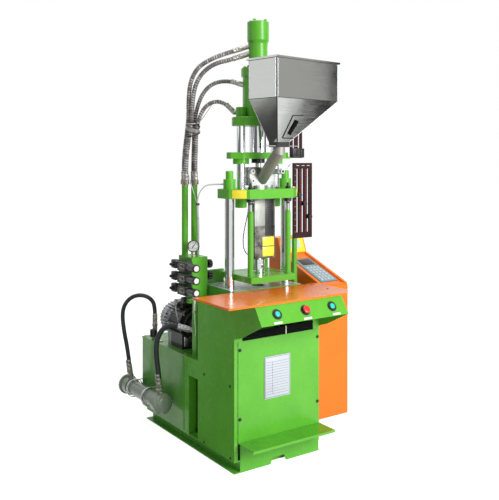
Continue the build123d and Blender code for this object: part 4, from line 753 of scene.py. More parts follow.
# %% Tree: small blocks
HALF_DIAGONAL = 0.70711
tree, given, told = new_tree(
    "small_blocks", "GeometryNodeTree",
    [("Places", "Geometry"), ("Size", "Vector", (0.01, 0.01, 0.01)), ("Taper", "Float", 0.9),
     ("Finish", "Material")],
    [("Geometry", "Geometry")])
block = add_node(tree, "GeometryNodeMeshCone",
                 {"Vertices": 4, "Radius Bottom": HALF_DIAGONAL, "Depth": 1.0,
                  "Radius Top": sums(tree, "MULTIPLY", given["Taper"], HALF_DIAGONAL)}).outputs[0]
block = add_node(tree, "GeometryNodeTransform", {0: block, "Rotation": (0, 0, pi / 4)}).outputs[0]
block = add_node(tree, "GeometryNodeTransform", {0: block, "Scale": given["Size"]}).outputs[0]
real = set_on_points(tree, given["Places"], block, "FunctionNodeEulerToRotation", 0)
tie(tree, paint(tree, real, given["Finish"]), told[0])
block_tree = tree
print(tree.name, len(tree.nodes), "nodes")


def blocks(title, spots, turn, size, finish, body="root", taper=0.9):
    """Small blocks at places in millimetres; each stands on its place, turned by Euler angles."""
    return grow(title, marks(spots, turn), block_tree, body, Size=Vector(size) * MM, Taper=taper,
                Finish=finish)


# %% [markdown]
# A hose with a spiral guard is a round tube whose skin swells where the guard's turns
# lie. The tree walks along the hose's line in short steps, sweeps a circle, and moves
# each point out by a wave that runs round and along at once. The wave is also stored,
# so that the finish can be pale on the guard and dark in the groove.

# %% Tree: wound sleeve
tree, given, told = new_tree(
    "wound_sleeve", "GeometryNodeTree",
    [("Places", "Geometry"), ("Radius", "Float", 0.011), ("Pitch", "Float", 0.014),
     ("Swell", "Float", 0.0015), ("Step", "Float", 0.003), ("Finish", "Material")],
    [("Geometry", "Geometry")])


def remembered(line, label, how):
    """Notes on a line how far along it each point lies: the line, and the note."""
    place = tree.nodes.new("GeometryNodeSplineParameter").outputs[how]
    note = add_node(tree, "GeometryNodeCaptureAttribute", domain="POINT")
    note.capture_items.new("FLOAT", label)
    tie(tree, line, note.inputs[0], place, note.inputs[1])
    return note.outputs[0], note.outputs[1]


paced = add_node(tree, "GeometryNodeResampleCurve", {"Curve": given["Places"], "Length": given["Step"]},
                 mode="LENGTH").outputs[0]
circle = add_node(tree, "GeometryNodeCurvePrimitiveCircle",
                  {"Resolution": 16, "Radius": given["Radius"]}).outputs[0]
walked, length_on = remembered(paced, "Along", "Length")
rounded, share_round = remembered(circle, "Round", "Factor")
swept = add_node(tree, "GeometryNodeCurveToMesh",
                 {"Curve": walked, "Profile Curve": rounded, "Fill Caps": True}).outputs[0]
turns = sums(tree, "ADD", sums(tree, "DIVIDE", length_on, given["Pitch"]), share_round)
wave = sums(tree, "SINE", sums(tree, "MULTIPLY", turns, 2 * pi))
out_by = sums(tree, "MULTIPLY", sums(tree, "SUBTRACT", wave, 1.0), given["Swell"])
outward = tree.nodes.new("GeometryNodeInputNormal").outputs[0]
push = add_node(tree, "ShaderNodeVectorMath", {0: outward, "Scale": out_by}, operation="SCALE").outputs[0]
moved = add_node(tree, "GeometryNodeSetPosition", {0: swept, "Offset": push}).outputs[0]
noted = add_node(tree, "GeometryNodeStoreNamedAttribute", {0: moved, "Name": "winding", "Value": wave},
                 data_type="FLOAT", domain="POINT").outputs[0]
smooth = add_node(tree, "GeometryNodeSetShadeSmooth", {0: noted}).outputs[0]
real = add_node(tree, "GeometryNodeRealizeInstances", {0: smooth}).outputs[0]
tie(tree, paint(tree, real, given["Finish"]), told[0])
sleeve_tree = tree
print(tree.name, len(tree.nodes), "nodes")


def line_through(points):
    """A soft line guided by points in millimetres, as a bent hose lies."""
    curve = bpy.data.curves.new("line", "CURVE")
    curve.dimensions = "3D"
    spline = curve.splines.new("NURBS")
    spline.points.add(len(points) - 1)
    for knot, point in zip(spline.points, points):
        knot.co = (*(Vector(point) * MM), 1)
    spline.order_u = 3
    spline.use_endpoint_u = True
    spline.resolution_u = 24
    return put("line", curve)


def tube(title, points, diameter, finish, body="root", pitch=20.0, swell=0.0, step=4.0):
    """A hose, wire or tube along a line, smooth or wound."""
    return grow(title, line_through(points), sleeve_tree, body, Radius=diameter / 2 * MM, Pitch=pitch * MM,
                Swell=swell * MM, Step=step * MM, Finish=finish)


# %% [markdown]
# ## Hoses
# The four thick hoses feed the motor and the cylinder at the top. They rise in two
# pairs from the pipes, are tied together half way, then part. The oil cooler's two
# hoses are plain black rubber. The lines have the drawing's own guide points; only
# the rear cooler hose reaches 20 mm further down, into its fitting.

# %% Finish: spiral guard
def wound(title, pale, groove, stain):
    """Grey guard over black rubber: the stored winding picks the colour."""
    tree, skin, place = begin_finish(title, {})
    winding = add_node(tree, "ShaderNodeAttribute", attribute_name="winding", attribute_type="GEOMETRY")
    turn = spread(tree, winding.outputs["Fac"], -0.35, 0.35)
    worn = spread(tree, speckle(tree, place, 26.0, 3.0, 0.6), 0.42, 0.60)
    guard = blend_colour(tree, worn, (*pale, 1), (*stain, 1))
    lay(tree, skin, blend_colour(tree, turn, (*groove, 1), guard), spread(tree, worn, 0, 1, 0.30, 0.55),
        speckle(tree, place, 300.0), 0.2, 0.0004)
    return finishes[title]


hose_guard = wound("hose_guard", (0.58, 0.58, 0.57), (0.12, 0.12, 0.12), (0.15, 0.12, 0.11))
print(len(finishes), "finishes so far")

# %% Hose lines
PORT_WAY = (-0.8486, 0.5291)


def port_spots(*pairs):
    """Points straight out of a port on the cylinder's side."""
    return [(PORT_WAY[0] * reach, PORT_WAY[1] * reach, z) for reach, z in pairs]


HOSES = {
    "motor_hose_upper": [(-290, 274, 1384), (-290, 274, 1490), (-289, 250, 1600), (-287, 228, 1711),
                         (-295, 214, 1815), (-292, 200, 1905), (-262, 170, 1978), (-200, 122, 2022),
                         *port_spots((156, 2050), (94, 2070))],
    "motor_hose_lower": [(-290, 250, 1384), (-290, 250, 1490), (-288, 226, 1600), (-281, 204, 1708),
                         (-284, 191, 1808), (-274, 175, 1893), (-238, 146, 1958), (-186, 112, 1996),
                         *port_spots((156, 2010), (94, 2030))],
    "injection_hose_upper": [(-240, 262, 1384), (-240, 262, 1480), (-248, 240, 1575), (-259, 219, 1675),
                             (-254, 196, 1770), (-232, 168, 1848), (-190, 130, 1895),
                             *port_spots((153, 1904), (105, 1890))],
    "injection_hose_lower": [(-240, 238, 1384), (-240, 238, 1475), (-250, 214, 1563), (-262, 190, 1643),
                             (-258, 168, 1712), (-236, 146, 1768), (-198, 122, 1796),
                             *port_spots((176, 1790), (140, 1754))],
}
COOLER_LINES = {
    "cooler_hose_rear": [(-379, 753, 305), (-390, 758, 400), (-408, 768, 505), (-416, 774, 605),
                         (-400, 763, 665), (-362, 738, 703), (-314, 706, 708), (-274, 680, 684),
                         (-258, 669, 640), (-258, 669, 575)],
    "cooler_hose_front": [(-379, 387, 312), (-389, 388, 390), (-398, 387, 468), (-394, 380, 532),
                          (-374, 361, 584), (-342, 333, 607), (-312, 306, 604), (-284, 281, 594)],
}
LUBE_LINE = [(-240, 205, 985), (-240, 205, 1055), (-250, 190, 1130), (-264, 167, 1200), (-282, 148, 1268),
             (-281, 126, 1326), (-262, 94, 1360), (-234, 58, 1366), (-200.8, 22.7, 1366)]
CABLE_LINE = [(-80, -30, 1294), (-80, -30, 1240), (-95, -30, 1180), (-111, -30, 1120), (-116, -30, 1066),
              (-108, -30, 1026), (-84, -30, 1000), (-58, -30, 1000)]


def stretch(piece):
    """Bakes a line's placing into its mesh."""
    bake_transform(piece)


for name, points in HOSES.items():
    hose = tube(name + "_sleeve", points, 25 if "motor" in name else 23, hose_guard, None, pitch=13.0,
                swell=0.9, step=2.6)
    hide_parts(name)
    stretch(hose)
    print(name, len(hose.data.polygons), "faces")

# %% Plain hoses, oil line and cable
for name, points in COOLER_LINES.items():
    hose = tube(name + "_rubber", points, 24 if "rear" in name else 28, hose_rubber, step=5.0)
    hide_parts(name)
oil_line = tube("lube_line", LUBE_LINE, 8, milky_tube, None)
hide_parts("lube_tube")
stretch(oil_line)
cable = tube("heater_lead", CABLE_LINE, 7, black_plastic, CLAMP, pitch=14, swell=1.2, step=2.0)
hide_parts("heater_cable")
print("hoses ready")


# %% [markdown]
# Crimped fittings end every hose: a ferrule with pressed rings, and a hexagon nut.
# The ferrule is one lathe profile and the nut is the same lathe with six steps.

# %% Ferrules and nuts
def ferrule(spot, way, length, radius):
    """A crimped sleeve with three pressed rings and a lip."""
    third = length / 3
    return turned([(0, 0), (radius * 0.86, 0), (radius, 2), (radius, third - 3), (radius * 0.9, third),
                   (radius, third + 3), (radius, 2 * third - 3), (radius * 0.9, 2 * third),
                   (radius, 2 * third + 3), (radius, length - 2), (radius * 0.86, length), (0, length)],
                  spot, way)


def hex_nut(spot, way, length, radius):
    """A six-sided nut with its corners turned down at both ends."""
    return turned([(0, 0), (radius * 0.84, 0), (radius, 2), (radius, length - 2), (radius * 0.84, length),
                   (0, length)], spot, way, steps=6)


def along(first, second):
    """The direction from one point to the next."""
    return (Vector(second) - Vector(first)).normalized()


def below(spot, drop):
    """A place straight under another."""
    return Vector(spot) - Vector((0, 0, drop))


risers, ports = [], []
for name, points in HOSES.items():
    wide = 14.0 if "motor" in name else 13.0
    inward = along(points[-2], points[-1])
    risers += [ferrule(points[0], UP, 46, wide), hex_nut(below(points[0], 12), UP, 14, wide + 3)]
    ports += [ferrule(Vector(points[-1]) - inward * 40, inward, 42, wide),
              hex_nut(points[-1], inward, 16, wide + 2)]
joined("riser_ferrules", "root", (worn_zinc, *risers))
joined("port_ferrules", CLAMP, (worn_zinc, *ports))
rear_end = COOLER_LINES["cooler_hose_rear"][-1]
sleeves, nuts = [ferrule(below(rear_end, 30), UP, 56, 14.5), hex_nut(below(rear_end, 46), UP, 16, 18)], []
for foot, above, *_ in COOLER_LINES.values():
    sleeves.append(ferrule(below(foot, 30), along(foot, above), 58, 15.5))
    nuts += [hex_nut(below(foot, 44), UP, 15, 17), hex_nut(below(foot, 64), UP, 12, 18)]
before, front_end = COOLER_LINES["cooler_hose_front"][-2:]
into_pump = along(before, front_end)
joined("cooler_ferrules", "root", (worn_zinc, *sleeves), (zinc_plate, *nuts),
       (cast_alloy, ferrule(Vector(front_end) - into_pump * 34, into_pump, 52, 16.5),
        hex_nut(Vector(front_end) + into_pump * 16, into_pump, 16, 18)))
print("ferrules ready")

# %% [markdown]
# Half way up, the fitter tied the four hoses together with tape and a cable tie and
# hung them from a thin wire. A tape band is a flat ring, squeezed into an oval.

# %% Hose tie, wire and clips
def oval_band(spot, half_x, half_y, height, thick, tilt):
    """A flat oval ring around a bundle."""
    ring = turned([(1, -0.5), (1 + thick, -0.5), (1 + thick, 0.5), (1, 0.5), (1, -0.5)], (0, 0, 0))
    ring.transform(Matrix.Scale(1 / MM, 4))
    shape = Matrix.Diagonal((half_x * MM, half_y * MM, height * MM, 1))
    ring.transform(Matrix.Translation(Vector(spot) * MM) @ Matrix.Rotation(radians(tilt[0]), 4, "X")
                   @ Matrix.Rotation(radians(tilt[1]), 4, "Y") @ shape)
    return ring


joined("hose_tie", "root",
       (hose_guard, oval_band((-272, 212, 1646), 34, 46, 20, 0.07, (10, 14))),
       (black_plastic, oval_band((-272, 210, 1668), 33, 44, 6, 0.10, (-12, 30)),
        oval_band((-272, 213, 1628), 34, 47, 6, 0.10, (6, -24))),
       (white_tag, oval_band((-272, 210, 1684), 33, 43, 4, 0.08, (4, -8))))
tube("hanging_wire", [(-262, 190, 1668), (-240, 165, 1706), (-218, 140, 1752), (-200, 124, 1788)], 2.4,
     dark_steel)
print("hose tie ready")

# %% Clear lines
tube("return_line", [(-236, 214, 985), (-240, 208, 1060), (-250, 190, 1130), (-263, 170, 1200),
                     (-279, 152, 1262)], 12, milky_tube)
tube("vent_line", [(-281, 150, 1264), (-286, 170, 1310), (-290, 205, 1372), (-290, 234, 1440)], 4,
     milky_tube)
joined("line_clip", "root", (black_plastic, slab((-287, 141, 1254), (-270, 157, 1266), 2)))
tube("drain_line", [(-303, 160, 768), (-312, 215, 757), (-316, 262, 748), (-319, 300, 735),
                    (-316, 318, 700), (-304, 326, 655), (-292, 330, 612)], 4.5, milky_tube)
tube("pilot_pipe", [(-312, 124, 786), (-311, 124, 750), (-311, 125, 708)], 12, ivory_cap)
tube("pilot_line", [(-311, 125, 712), (-309, 125, 660), (-300, 130, 600), (-285, 160, 575),
                    (-262, 205, 570)], 5, ivory_cap)
joined("pilot_nuts", "root", (zinc_plate, hex_nut((-312, 124, 774), UP, 14, 10),
                              hex_nut((-311, 125, 704), UP, 12, 9)))
print("clear lines ready")

# %% [markdown]
# ## Valves and gauge
# Each valve ends in a white push cap inside a black ring. A lathe profile that comes
# back to its first point makes a ring; one that starts and ends on the axis makes a
# solid cap. Blank plates with a pale rim stand where a maker would print a symbol.

# %% Valve ends, plugs and plates
VALVE_HEIGHTS = (940, 878, 816)


def rim_bars(low, high, wide=2):
    """The four bars of a flat frame, as pairs of corners."""
    (left, foot), (right, top) = low, high
    return [((left, top - wide), high), (low, (right, foot + wide)), (low, (left + wide, top)),
            ((right - wide, foot), high)]


caps, blacks, collars, nuts, faces, rims = [], [], [], [], [], []
for z in VALVE_HEIGHTS:
    caps.append(turned([(0, -1), (14.5, -1), (14.5, 1.5), (13, 2.6), (0, 3.2)], (-335, 65, z), FRONT))
    blacks += [turned([(14.6, -2), (20, -2), (21, -1), (21, 2.5), (19.5, 4.5), (16, 4.5), (14.6, 3),
                       (14.6, -2)], (-335, 66, z), FRONT),
               slab((-362, 240, z - 18), (-330, 286, z + 27), 5),
               turned([(0, 0), (11, 0), (11, 5), (8, 7), (8, 16), (4, 20), (0, 20)], (-362, 262, z + 4),
                      LEFT)]
    collars.append(turned([(0, 0), (20.5, 0), (20.5, 3), (18, 5), (17.5, 9), (0, 9)], (-335, 128, z), FRONT))
    nuts.append(hex_nut((-335, 292, z), BACK, 10, 12))
    faces.append(slab((-358.6, 150, z - 9), (-358, 196, z + 12), 0.3))
    rims += [slab((-359.4, a[0], z + a[1]), (-358.4, b[0], z + b[1]), 0.3)
             for a, b in rim_bars((150, -9), (196, 12))]
joined("valve_ends", "root", (ivory_cap, *caps), (black_plastic, *blacks), (motor_enamel, *collars),
       (zinc_plate, *nuts))
joined("valve_plates", "root", (motor_enamel, *faces), (zinc_plate, *rims))
screws("valve_bolts", [(-358, y, z + s) for z in VALVE_HEIGHTS for y in (146, 216) for s in (-18, 18)],
       LEFT, 3.2, 3.5, dark_steel)
print("valves ready")

# %% [markdown]
# A pressure gauge is read against plain ticks and numbers. The ticks are the block
# tree again, fed with points on an arc. The numbers are text turned into mesh before
# it is set in place, because a text object has no faces to bake.

# %% Gauge dial
TURN = radians(25)
GAUGE_SPOT = Vector((-291, 172, 1042))
GAUGE_WAY = Vector((-sin(TURN), -cos(TURN), 0))
GAUGE_SIDE = Vector((cos(TURN), -sin(TURN), 0))
dial_frame = Matrix((GAUGE_SIDE, (0, 0, 1), GAUGE_WAY)).transposed()


def on_dial(radius, angle, out):
    """A point on the dial; the angle runs clockwise from straight up."""
    flat = GAUGE_SIDE * sin(radians(angle)) + Vector((0, 0, 1)) * cos(radians(angle))
    return GAUGE_SPOT + flat * radius + GAUGE_WAY * out


def on_axis(out):
    """A place on the dial's axis, so far in front of the gauge."""
    return on_dial(0, 0, out)


joined("gauge_dial", "root",
       (white_tag, turned([(0, 0), (27, 0), (27, 0.6), (0, 0.6)], on_axis(5.2), GAUGE_WAY, 48)),
       (dark_steel, turned([(27, 0), (31.5, 0), (32, 2), (32, 6), (30.5, 8.5), (27.5, 8.5), (27, 7), (27, 0)],
                           on_axis(5.5), GAUGE_WAY, 48)),
       (glass, turned([(0, 0), (27, 0), (27, 1), (0, 1.4)], on_axis(12.2), GAUGE_WAY, 48)))
angles = [-135 + 270 * k / 20 for k in range(21)]
blocks("dial_ticks", [on_dial(23.5 if k % 5 else 22, a, 5.7) for k, a in enumerate(angles)],
       [(dial_frame @ Matrix.Rotation(-radians(a), 3, "Z")).to_euler() for a in angles],
       (0.7, 3.4, 0.25), black_plastic, taper=1.0)
digits = []
for value, angle in zip((0, 5, 10, 15, 20), angles[::5]):
    letters = bpy.data.curves.new("dial_number", "FONT")
    letters.body = str(value)
    letters.size = 0.0062
    letters.align_x, letters.align_y = "CENTER", "CENTER"
    letters.extrude = 0.0001
    holder = put("dial_number", letters)
    bpy.context.view_layer.update()
    flat = bpy.data.meshes.new_from_object(holder)
    bpy.data.objects.remove(holder)
    flat.transform(Matrix.Translation(on_dial(16.5, angle, 5.9) * MM) @ dial_frame.to_4x4())
    digits.append(flat)
joined("dial_numbers", "root", (black_plastic, *digits))

# %% Gauge needle
OUTLINE = [(-13, -1.8), (-13, 1.8), (-3, 2.6), (8, 2.2), (22, 0.4), (22, -0.4), (8, -2.2), (-3, -2.6)]
point_way, side_way = on_dial(1, 38, 0) - GAUGE_SPOT, on_dial(1, 128, 0) - GAUGE_SPOT
lower, upper = ([(on_axis(out) + point_way * a + side_way * b) * MM for a, b in OUTLINE]
                for out in (7.0, 8.0))
count = len(OUTLINE)
needle_mesh = bpy.data.meshes.new("pointer")
needle_mesh.from_pydata(lower + upper, [], [tuple(range(count))[::-1], tuple(range(count, 2 * count))]
                        + [(k, (k + 1) % count, count + (k + 1) % count, count + k) for k in range(count)])
hub = turned([(0, 0), (3.6, 0), (3.6, 2), (2, 3.2), (0, 3.2)], on_axis(7.0), GAUGE_WAY)
pointer = joined("gauge_pointer", "needle", (black_plastic, needle_mesh, hub))
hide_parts("gauge_needle")
joined("gauge_stem", "root", (zinc_plate, hex_nut((-291, 172, 986), UP, 12, 11)),
       (cast_alloy, hex_nut((-291, 172, 1000), UP, 10, 9)))
print("gauge ready")


# %% [markdown]
# ## Hopper
# The hopper is folded from thin stainless sheet: upright walls above, a lopsided
# funnel below, a rim turned outwards and welded corners. It replaces the bare shell,
# because the sheet needs its folds, its seams and a sight window with a slot.

# %% Folded hopper
HOPPER_TURN = radians(8)
hopper_frame = Matrix.Translation((-25, -217, 0)) @ Matrix.Rotation(HOPPER_TURN, 4, "Z")
RIM = ((-119.0, -105.0), (321.0, 92.0))
MOUTH = ((-42, -30), (42, 30))
RIM_TOP, FOLD, OUTLET = 1992.0, 1791.0, 1579.0


def sheet_spot(x, y, z):
    """A point of the hopper in the machine's own frame."""
    return hopper_frame @ Vector((x, y, z))


def corners(low, high, out=0.0):
    """The four corners of a rectangle, moved outwards by so much."""
    left, front, right, back = low[0] - out, low[1] - out, high[0] + out, high[1] + out
    return [(left, front), (right, front), (right, back), (left, back)]


shape = bmesh.new()
rings = [[shape.verts.new(sheet_spot(x, y, z) * MM) for x, y in corners(*outline, out)]
         for outline, out, z in ((MOUTH, 0, OUTLET), (RIM, 0, FOLD), (RIM, 0, RIM_TOP - 3),
                                 (RIM, 7, RIM_TOP - 3), (RIM, 8, RIM_TOP - 10), (RIM, 9.5, RIM_TOP - 10),
                                 (RIM, 9, RIM_TOP - 1), (RIM, 7, RIM_TOP), (RIM, -2, RIM_TOP),
                                 (RIM, -2, FOLD + 1), (MOUTH, -2, OUTLET))]
for lower, upper in zip(rings, rings[1:] + rings[:1]):
    for k in range(4):
        shape.faces.new((lower[k], lower[(k + 1) % 4], upper[(k + 1) % 4], upper[k]))
bmesh.ops.recalc_face_normals(shape, faces=shape.faces)
hopper_mesh = bpy.data.meshes.new("hopper_sheet")
shape.to_mesh(hopper_mesh)
shape.free()
folded = joined("folded_hopper", CLAMP, (stainless, hopper_mesh))
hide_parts("hopper")
print("hopper", len(folded.data.polygons), "faces")

# %% Hopper seams, painted shade along the folds, and sight window
rim_corners = corners(*RIM)
WELD_TOP = RIM_TOP - 12
for k, (low, high) in enumerate(zip(corners(*MOUTH), rim_corners)):
    weld = (6.0, dark_steel) if k == 0 else (3.0, cast_alloy)
    spots = [sheet_spot(*low, OUTLET + 2), *(sheet_spot(*high, z) for z in (FOLD, FOLD + 1, WELD_TOP))]
    tube(f"hopper_weld_{k}", spots, *weld, CLAMP, step=6.0)
left, front = rim_corners[0]
GLEAMS = (((left + 5.5, front), (0, -1.6, 0)), ((left - 1.5, front + 5.5), (-1.6, 0, 0)))
for k, (spot, out) in enumerate(GLEAMS):
    tube(f"corner_gleam_{k}", [sheet_spot(*spot, z) + Vector(out) for z in (FOLD + 2, WELD_TOP)], 2.4,
         chrome, CLAMP, step=20.0)
# Thin dark steel lines along the four folds are painted shade in the creases.
for k in range(4):
    tube(f"hopper_fold_shade_{k}", [sheet_spot(*rim_corners[k], FOLD), sheet_spot(*rim_corners[(k + 1) % 4], FOLD)],
         3.0, dark_steel, CLAMP, step=40.0)
WINDOW = [(6, -290, 1709), (80, -280, 1712), (41, -245, 1597), (-34, -256, 1598)]
frame_line = [Vector(spot) + Vector((-0.15, -1.05, 0)) for spot in WINDOW]
for k in (3, 0, 2):
    tube(f"window_edge_{k}", [frame_line[k], frame_line[(k + 1) % 4]], 4.6, dark_steel, CLAMP, step=30.0)
slot_top, slot_foot = Vector((40, -278, 1683)), Vector((6, -257, 1619))
slot_long = (slot_foot - slot_top).length
slot_way = (slot_foot - slot_top).normalized()
slot_out = slot_way.cross(Vector((cos(HOPPER_TURN), sin(HOPPER_TURN), 0))).normalized()
if slot_out.y > 0:
    slot_out = -slot_out
slot_turn = Matrix((slot_way, slot_out.cross(slot_way), slot_out)).transposed().to_4x4()
joined("sight_slot", CLAMP, (black_rubber, slab((-2, -9, -2), (slot_long + 2, 9, 7), 2.0,
                                                Matrix.Translation(slot_top * MM) @ slot_turn)))
print("hopper dressed")


# %% [markdown]
# ## Head plate and what stands on it
# The cage rods pass through the head plate and are locked above and below it by black
# nuts. The feed block is held by two socket screws, and carries a small drain tap.

# %% Lock nuts and collars of the cage
POSTS = [(x, y) for x in (-118, 118) for y in (-102, 102)]
nuts, sleeves, rods, caps = [], [], [], []
for x, y in POSTS:
    nuts += [hex_nut((x, y, 1342), UP, 12, 15),
             turned([(0, 0), (9, 0), (9, 6), (6.5, 12), (6.5, 17), (4, 20), (0, 21)], (x, y, 1353), UP)]
    sleeves.append(turned([(6.6, 0), (19, 0), (20, 2), (20, 13), (16, 20), (9, 22), (9, 30), (6.6, 30),
                           (6.6, 0)], (x, y, 1294), DOWN))
    rods.append(turned([(6.6, 0), (9, 0), (9, 36), (6.6, 36), (6.6, 0)], (x, y, 1265), DOWN))
    caps.append(hex_nut((x, y, 1223), UP, 9, 14))
joined("cage_lock_nuts", CLAMP, (black_plastic, *nuts))
joined("cage_collars", CLAMP, (black_plastic, *sleeves), (chrome, *rods), (green_enamel, *caps))
screws("collar_screws", [(x + 14 * cos(a), y + 14 * sin(a), 1279) for x, y in POSTS
                         for a in (-2.4, -0.9, 0.8, 2.3)], DOWN, 2.6, 6, chrome, CLAMP)
print("cage hardware ready")

# %% Feed block screws and tap
BUSH = [(5.2, 0), (12.5, 0), (13, 1), (13, 4), (11.5, 5.5), (6, 5.5), (5.2, 4.5), (5.2, 0)]
BUSH_SPOTS = [(-64, -44, z) for z in (1431, 1382)]
BUSH_HOLE = [(0, 0), (5.1, 0), (5.1, 1.5), (0, 1.5)]
joined("feed_block_bushes", CLAMP, (ivory_cap, *[turned(BUSH, spot, FRONT) for spot in BUSH_SPOTS]),
       (black_plastic, *[turned(BUSH_HOLE, spot, FRONT) for spot in BUSH_SPOTS]))
BOWL = [(0, 0), (13, 0), (19, 6), (21, 14), (21, 22), (17, 27), (17, 30), (10, 32), (0, 32)]
joined("drain_tap", CLAMP,
       (cast_alloy, turned(BOWL, (92, -56, 1414), UP),
        turned([(0, 0), (9, 0), (9, 10), (12, 12), (12, 20), (0, 20)], (92, -74, 1430), FRONT),
        turned([(0, 0), (10, 0), (10, 40), (0, 40)], (70, -30, 1426), (0.6, -0.8, 0))),
       (dark_steel, turned([(0, 0), (7, 0), (7, 2), (0, 2)], (92, -93.5, 1430), FRONT)))
tube("tap_lever", [(104, -56, 1434), (132, -58, 1436), (150, -60, 1444), (164, -62, 1458)], 6, cast_alloy,
     CLAMP, step=3.0)
joined("lever_grip", CLAMP, (cast_alloy, turned([(0, 0), (4, 0), (6, 3), (6, 12), (4, 15), (0, 15)],
                                                (158, -61, 1452), (0.6, 0, 0.8))))
screws("head_bolts", [(x, y, 1342) for x in (-70, 70) for y in (-70, 70)], UP, 7, 8, dark_steel, CLAMP)
print("feed block ready")

# %% [markdown]
# The barrel hides behind a folded cover with a black vent panel. The plates on the
# cover and on the head plate are left bare: plain yellow metal, flat on the paint.

# %% Barrel cover
# The real cover is a sheet folded in a shallow U round the front of the barrel.
folded = joined("folded_cover", CLAMP,
                (heated_cover, slab((-58, -52, 981), (72, -50, 1294), 0.8),
                 slab((-58, -51, 981), (-56, 10, 1294), 0.8), slab((70, -51, 981), (72, 10, 1294), 0.8),
                 slab((-57, -51, 1291), (71, 10, 1293), 0.8)))
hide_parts("barrel_cover")
print("cover folded")

# %% Bare plates
SLANT = 0.733


def sloped(spot, angle, axis):
    """A frame at a spot in millimetres, turned about one axis."""
    return Matrix.Translation(Vector(spot) * MM) @ Matrix.Rotation(angle, 4, axis)


joined("head_plates", CLAMP,
       (yellow_tag, slab((-36, -1.2, -21), (38, 0.2, 21), 0.5, sloped((-178.5, -88.5, 1318), -SLANT, "Z")),
        slab((-9, -1.2, -19), (9, 0.2, 19), 0.4, sloped((209, -61, 1318), SLANT, "Z"))))
joined("cover_plates", CLAMP, (black_plastic, slab((8, -53.2, 1096), (63, -52, 1286), 0.5)),
       (yellow_tag, slab((-9, -53.4, 1044), (64, -52, 1091), 0.5),
        slab((-9, -53.4, 990), (64, -52, 1040), 0.5)))
blocks("cover_slats", [(35, -53, z) for z in range(1110, 1276, 12)], (pi / 2, 0, 0), (46, 5, 3), motor_enamel,
       CLAMP, taper=0.5)
screws("cover_screws", [(x, -52, z) for x in (-50, 66) for z in (995, 1140, 1284)], FRONT, 3, 2, dark_steel,
       CLAMP)
NOZZLE_BAND = [(28.1, 0), (36, 0), (37, 1), (37, 5), (36, 6), (36, 50), (37, 51), (37, 69), (36, 70),
               (28.1, 70), (28.1, 0)]
joined("nozzle_band", CLAMP, (chrome, turned(NOZZLE_BAND, (0, 0, 904), UP)),
       (zinc_plate, slab((-5, -41, 930), (5, -33, 948), 1.5)))
screws("band_screws", [(0, -41, 939)], FRONT, 3.2, 4, dark_steel, CLAMP)
print("plates ready")

# %% [markdown]
# ## Limit racks
# The racks are painted oxblood and carry a scale. Ticks are blocks in a row again.
# Every sliding stop has a black knurled knob that clamps it.

# %% Rack scale and knobs
UPRIGHT, RACK_FACE = (pi / 2, 0, 0), -6.2
blocks("rack_scale", [(241, RACK_FACE, 1100 + 34 * k) for k in range(11)], UPRIGHT, (7, 3.2, 0.8), pink_tag,
       taper=1.0)
blocks("rack_marks", [(x, RACK_FACE, z) for x in (277, 313) for z in range(1100, 1440, 8)], UPRIGHT,
       (4, 1.6, 0.6), red_lens, taper=1.0)
blocks("rack_dashes", [(x, RACK_FACE, 1459) for x in (259, 295, 331)], UPRIGHT, (19, 2.6, 0.8), white_tag,
       taper=1.0)
blocks("upper_rack_marks", [(x, RACK_FACE, z) for x in (233, 269) for z in range(1540, 1650, 12)], UPRIGHT,
       (5, 1.6, 0.6), red_lens, CLAMP, taper=1.0)
for title, x, z in (("left", 259, 1300), ("middle", 295, 1252), ("right", 331, 1180)):
    joined(title + "_stop_knob", title + "_slider",
           (black_plastic, turned([(0, 0), (11, 0), (12.5, 2), (12.5, 10), (11, 12), (0, 13)], (x, -19, z),
                                  FRONT, 14)),
           (dark_steel, turned([(0, 0), (4, 0), (4, 1), (0, 1)], (x, -32, z), FRONT)))
joined("stop_pointer", CLAMP, (brass, slab((219, -15, 1330), (243, -9, 1346), 1),
                               turned([(0, 0), (4, 0), (4, 5), (0, 6)], (232, -14, 1335), FRONT)))
joined("upper_stop_block", CLAMP, (black_plastic, slab((213, -26, 1502), (289, -7, 1552), 2)),
       (dark_steel, slab((219, -29, 1510), (240, -25, 1544), 1), slab((262, -29, 1510), (283, -25, 1544), 1)))
screws("block_screws", [(x, -29, 1527) for x in (230, 272)], FRONT, 5, 4, dark_steel, CLAMP, sides=6)
screws("rack_bolts", [(246, -6, 1079), (344, -6, 1079)], FRONT, 5, 4, dark_steel)
print("racks ready")

# %% [markdown]
# ## Cabinet, table and desk
# Panel screws are round heads with washers. The blank plates stand where a maker
# would letter something. The key panel on the desk is a slate film with raised keys.

# %% Panel and table screws
screws("wall_screws", [(-305, -200, 409), (-305, -204, 67), (-305, 40, 409), (-305, 40, 67)], LEFT, 5, 3,
       dark_steel)
screws("table_screws", [(242, -144, 832), (244, -271, 832), (224, -108, 832)], UP, 5, 2, dark_steel)
screws("panel_sockets", [(x, -240, z) for z in (585, 255) for x in (-273.5, 203.5)], FRONT, 6, 3, dark_steel)
# The black rubber strips along the front panel's top edge and inside the chute mouth are painted shade in the
# gap under the button box.
joined("panel_gap_shade", "root",
       (black_rubber, slab((-258, -241.0, 627), (171, -239.6, 641), 0.4),
        slab((-243, -238.6, 641), (171, -236.8, 668), 0.4)),
       (dark_steel, slab((-286, -240.8, 96), (-284.4, -239.8, 627), 0.3)),
       (zinc_plate, slab((-3, -242.2, 628), (3, -240, 668), 0.8)))
for title, low, high, ease, finish in (
        ("corner_post", (172, -241.4, 626), (215, -236, 742), 1.0, green_enamel),
        ("cabinet_flange", (293, -142, 112), (313, -139, 812), 1.0, orange_enamel),
        ("plinth_slot", (-150, -239.0, 72), (50, -237.2, 84), 0.5, dark_steel)):
    joined(title, "root", (finish, slab(low, high, ease)))
print("panel dressed")

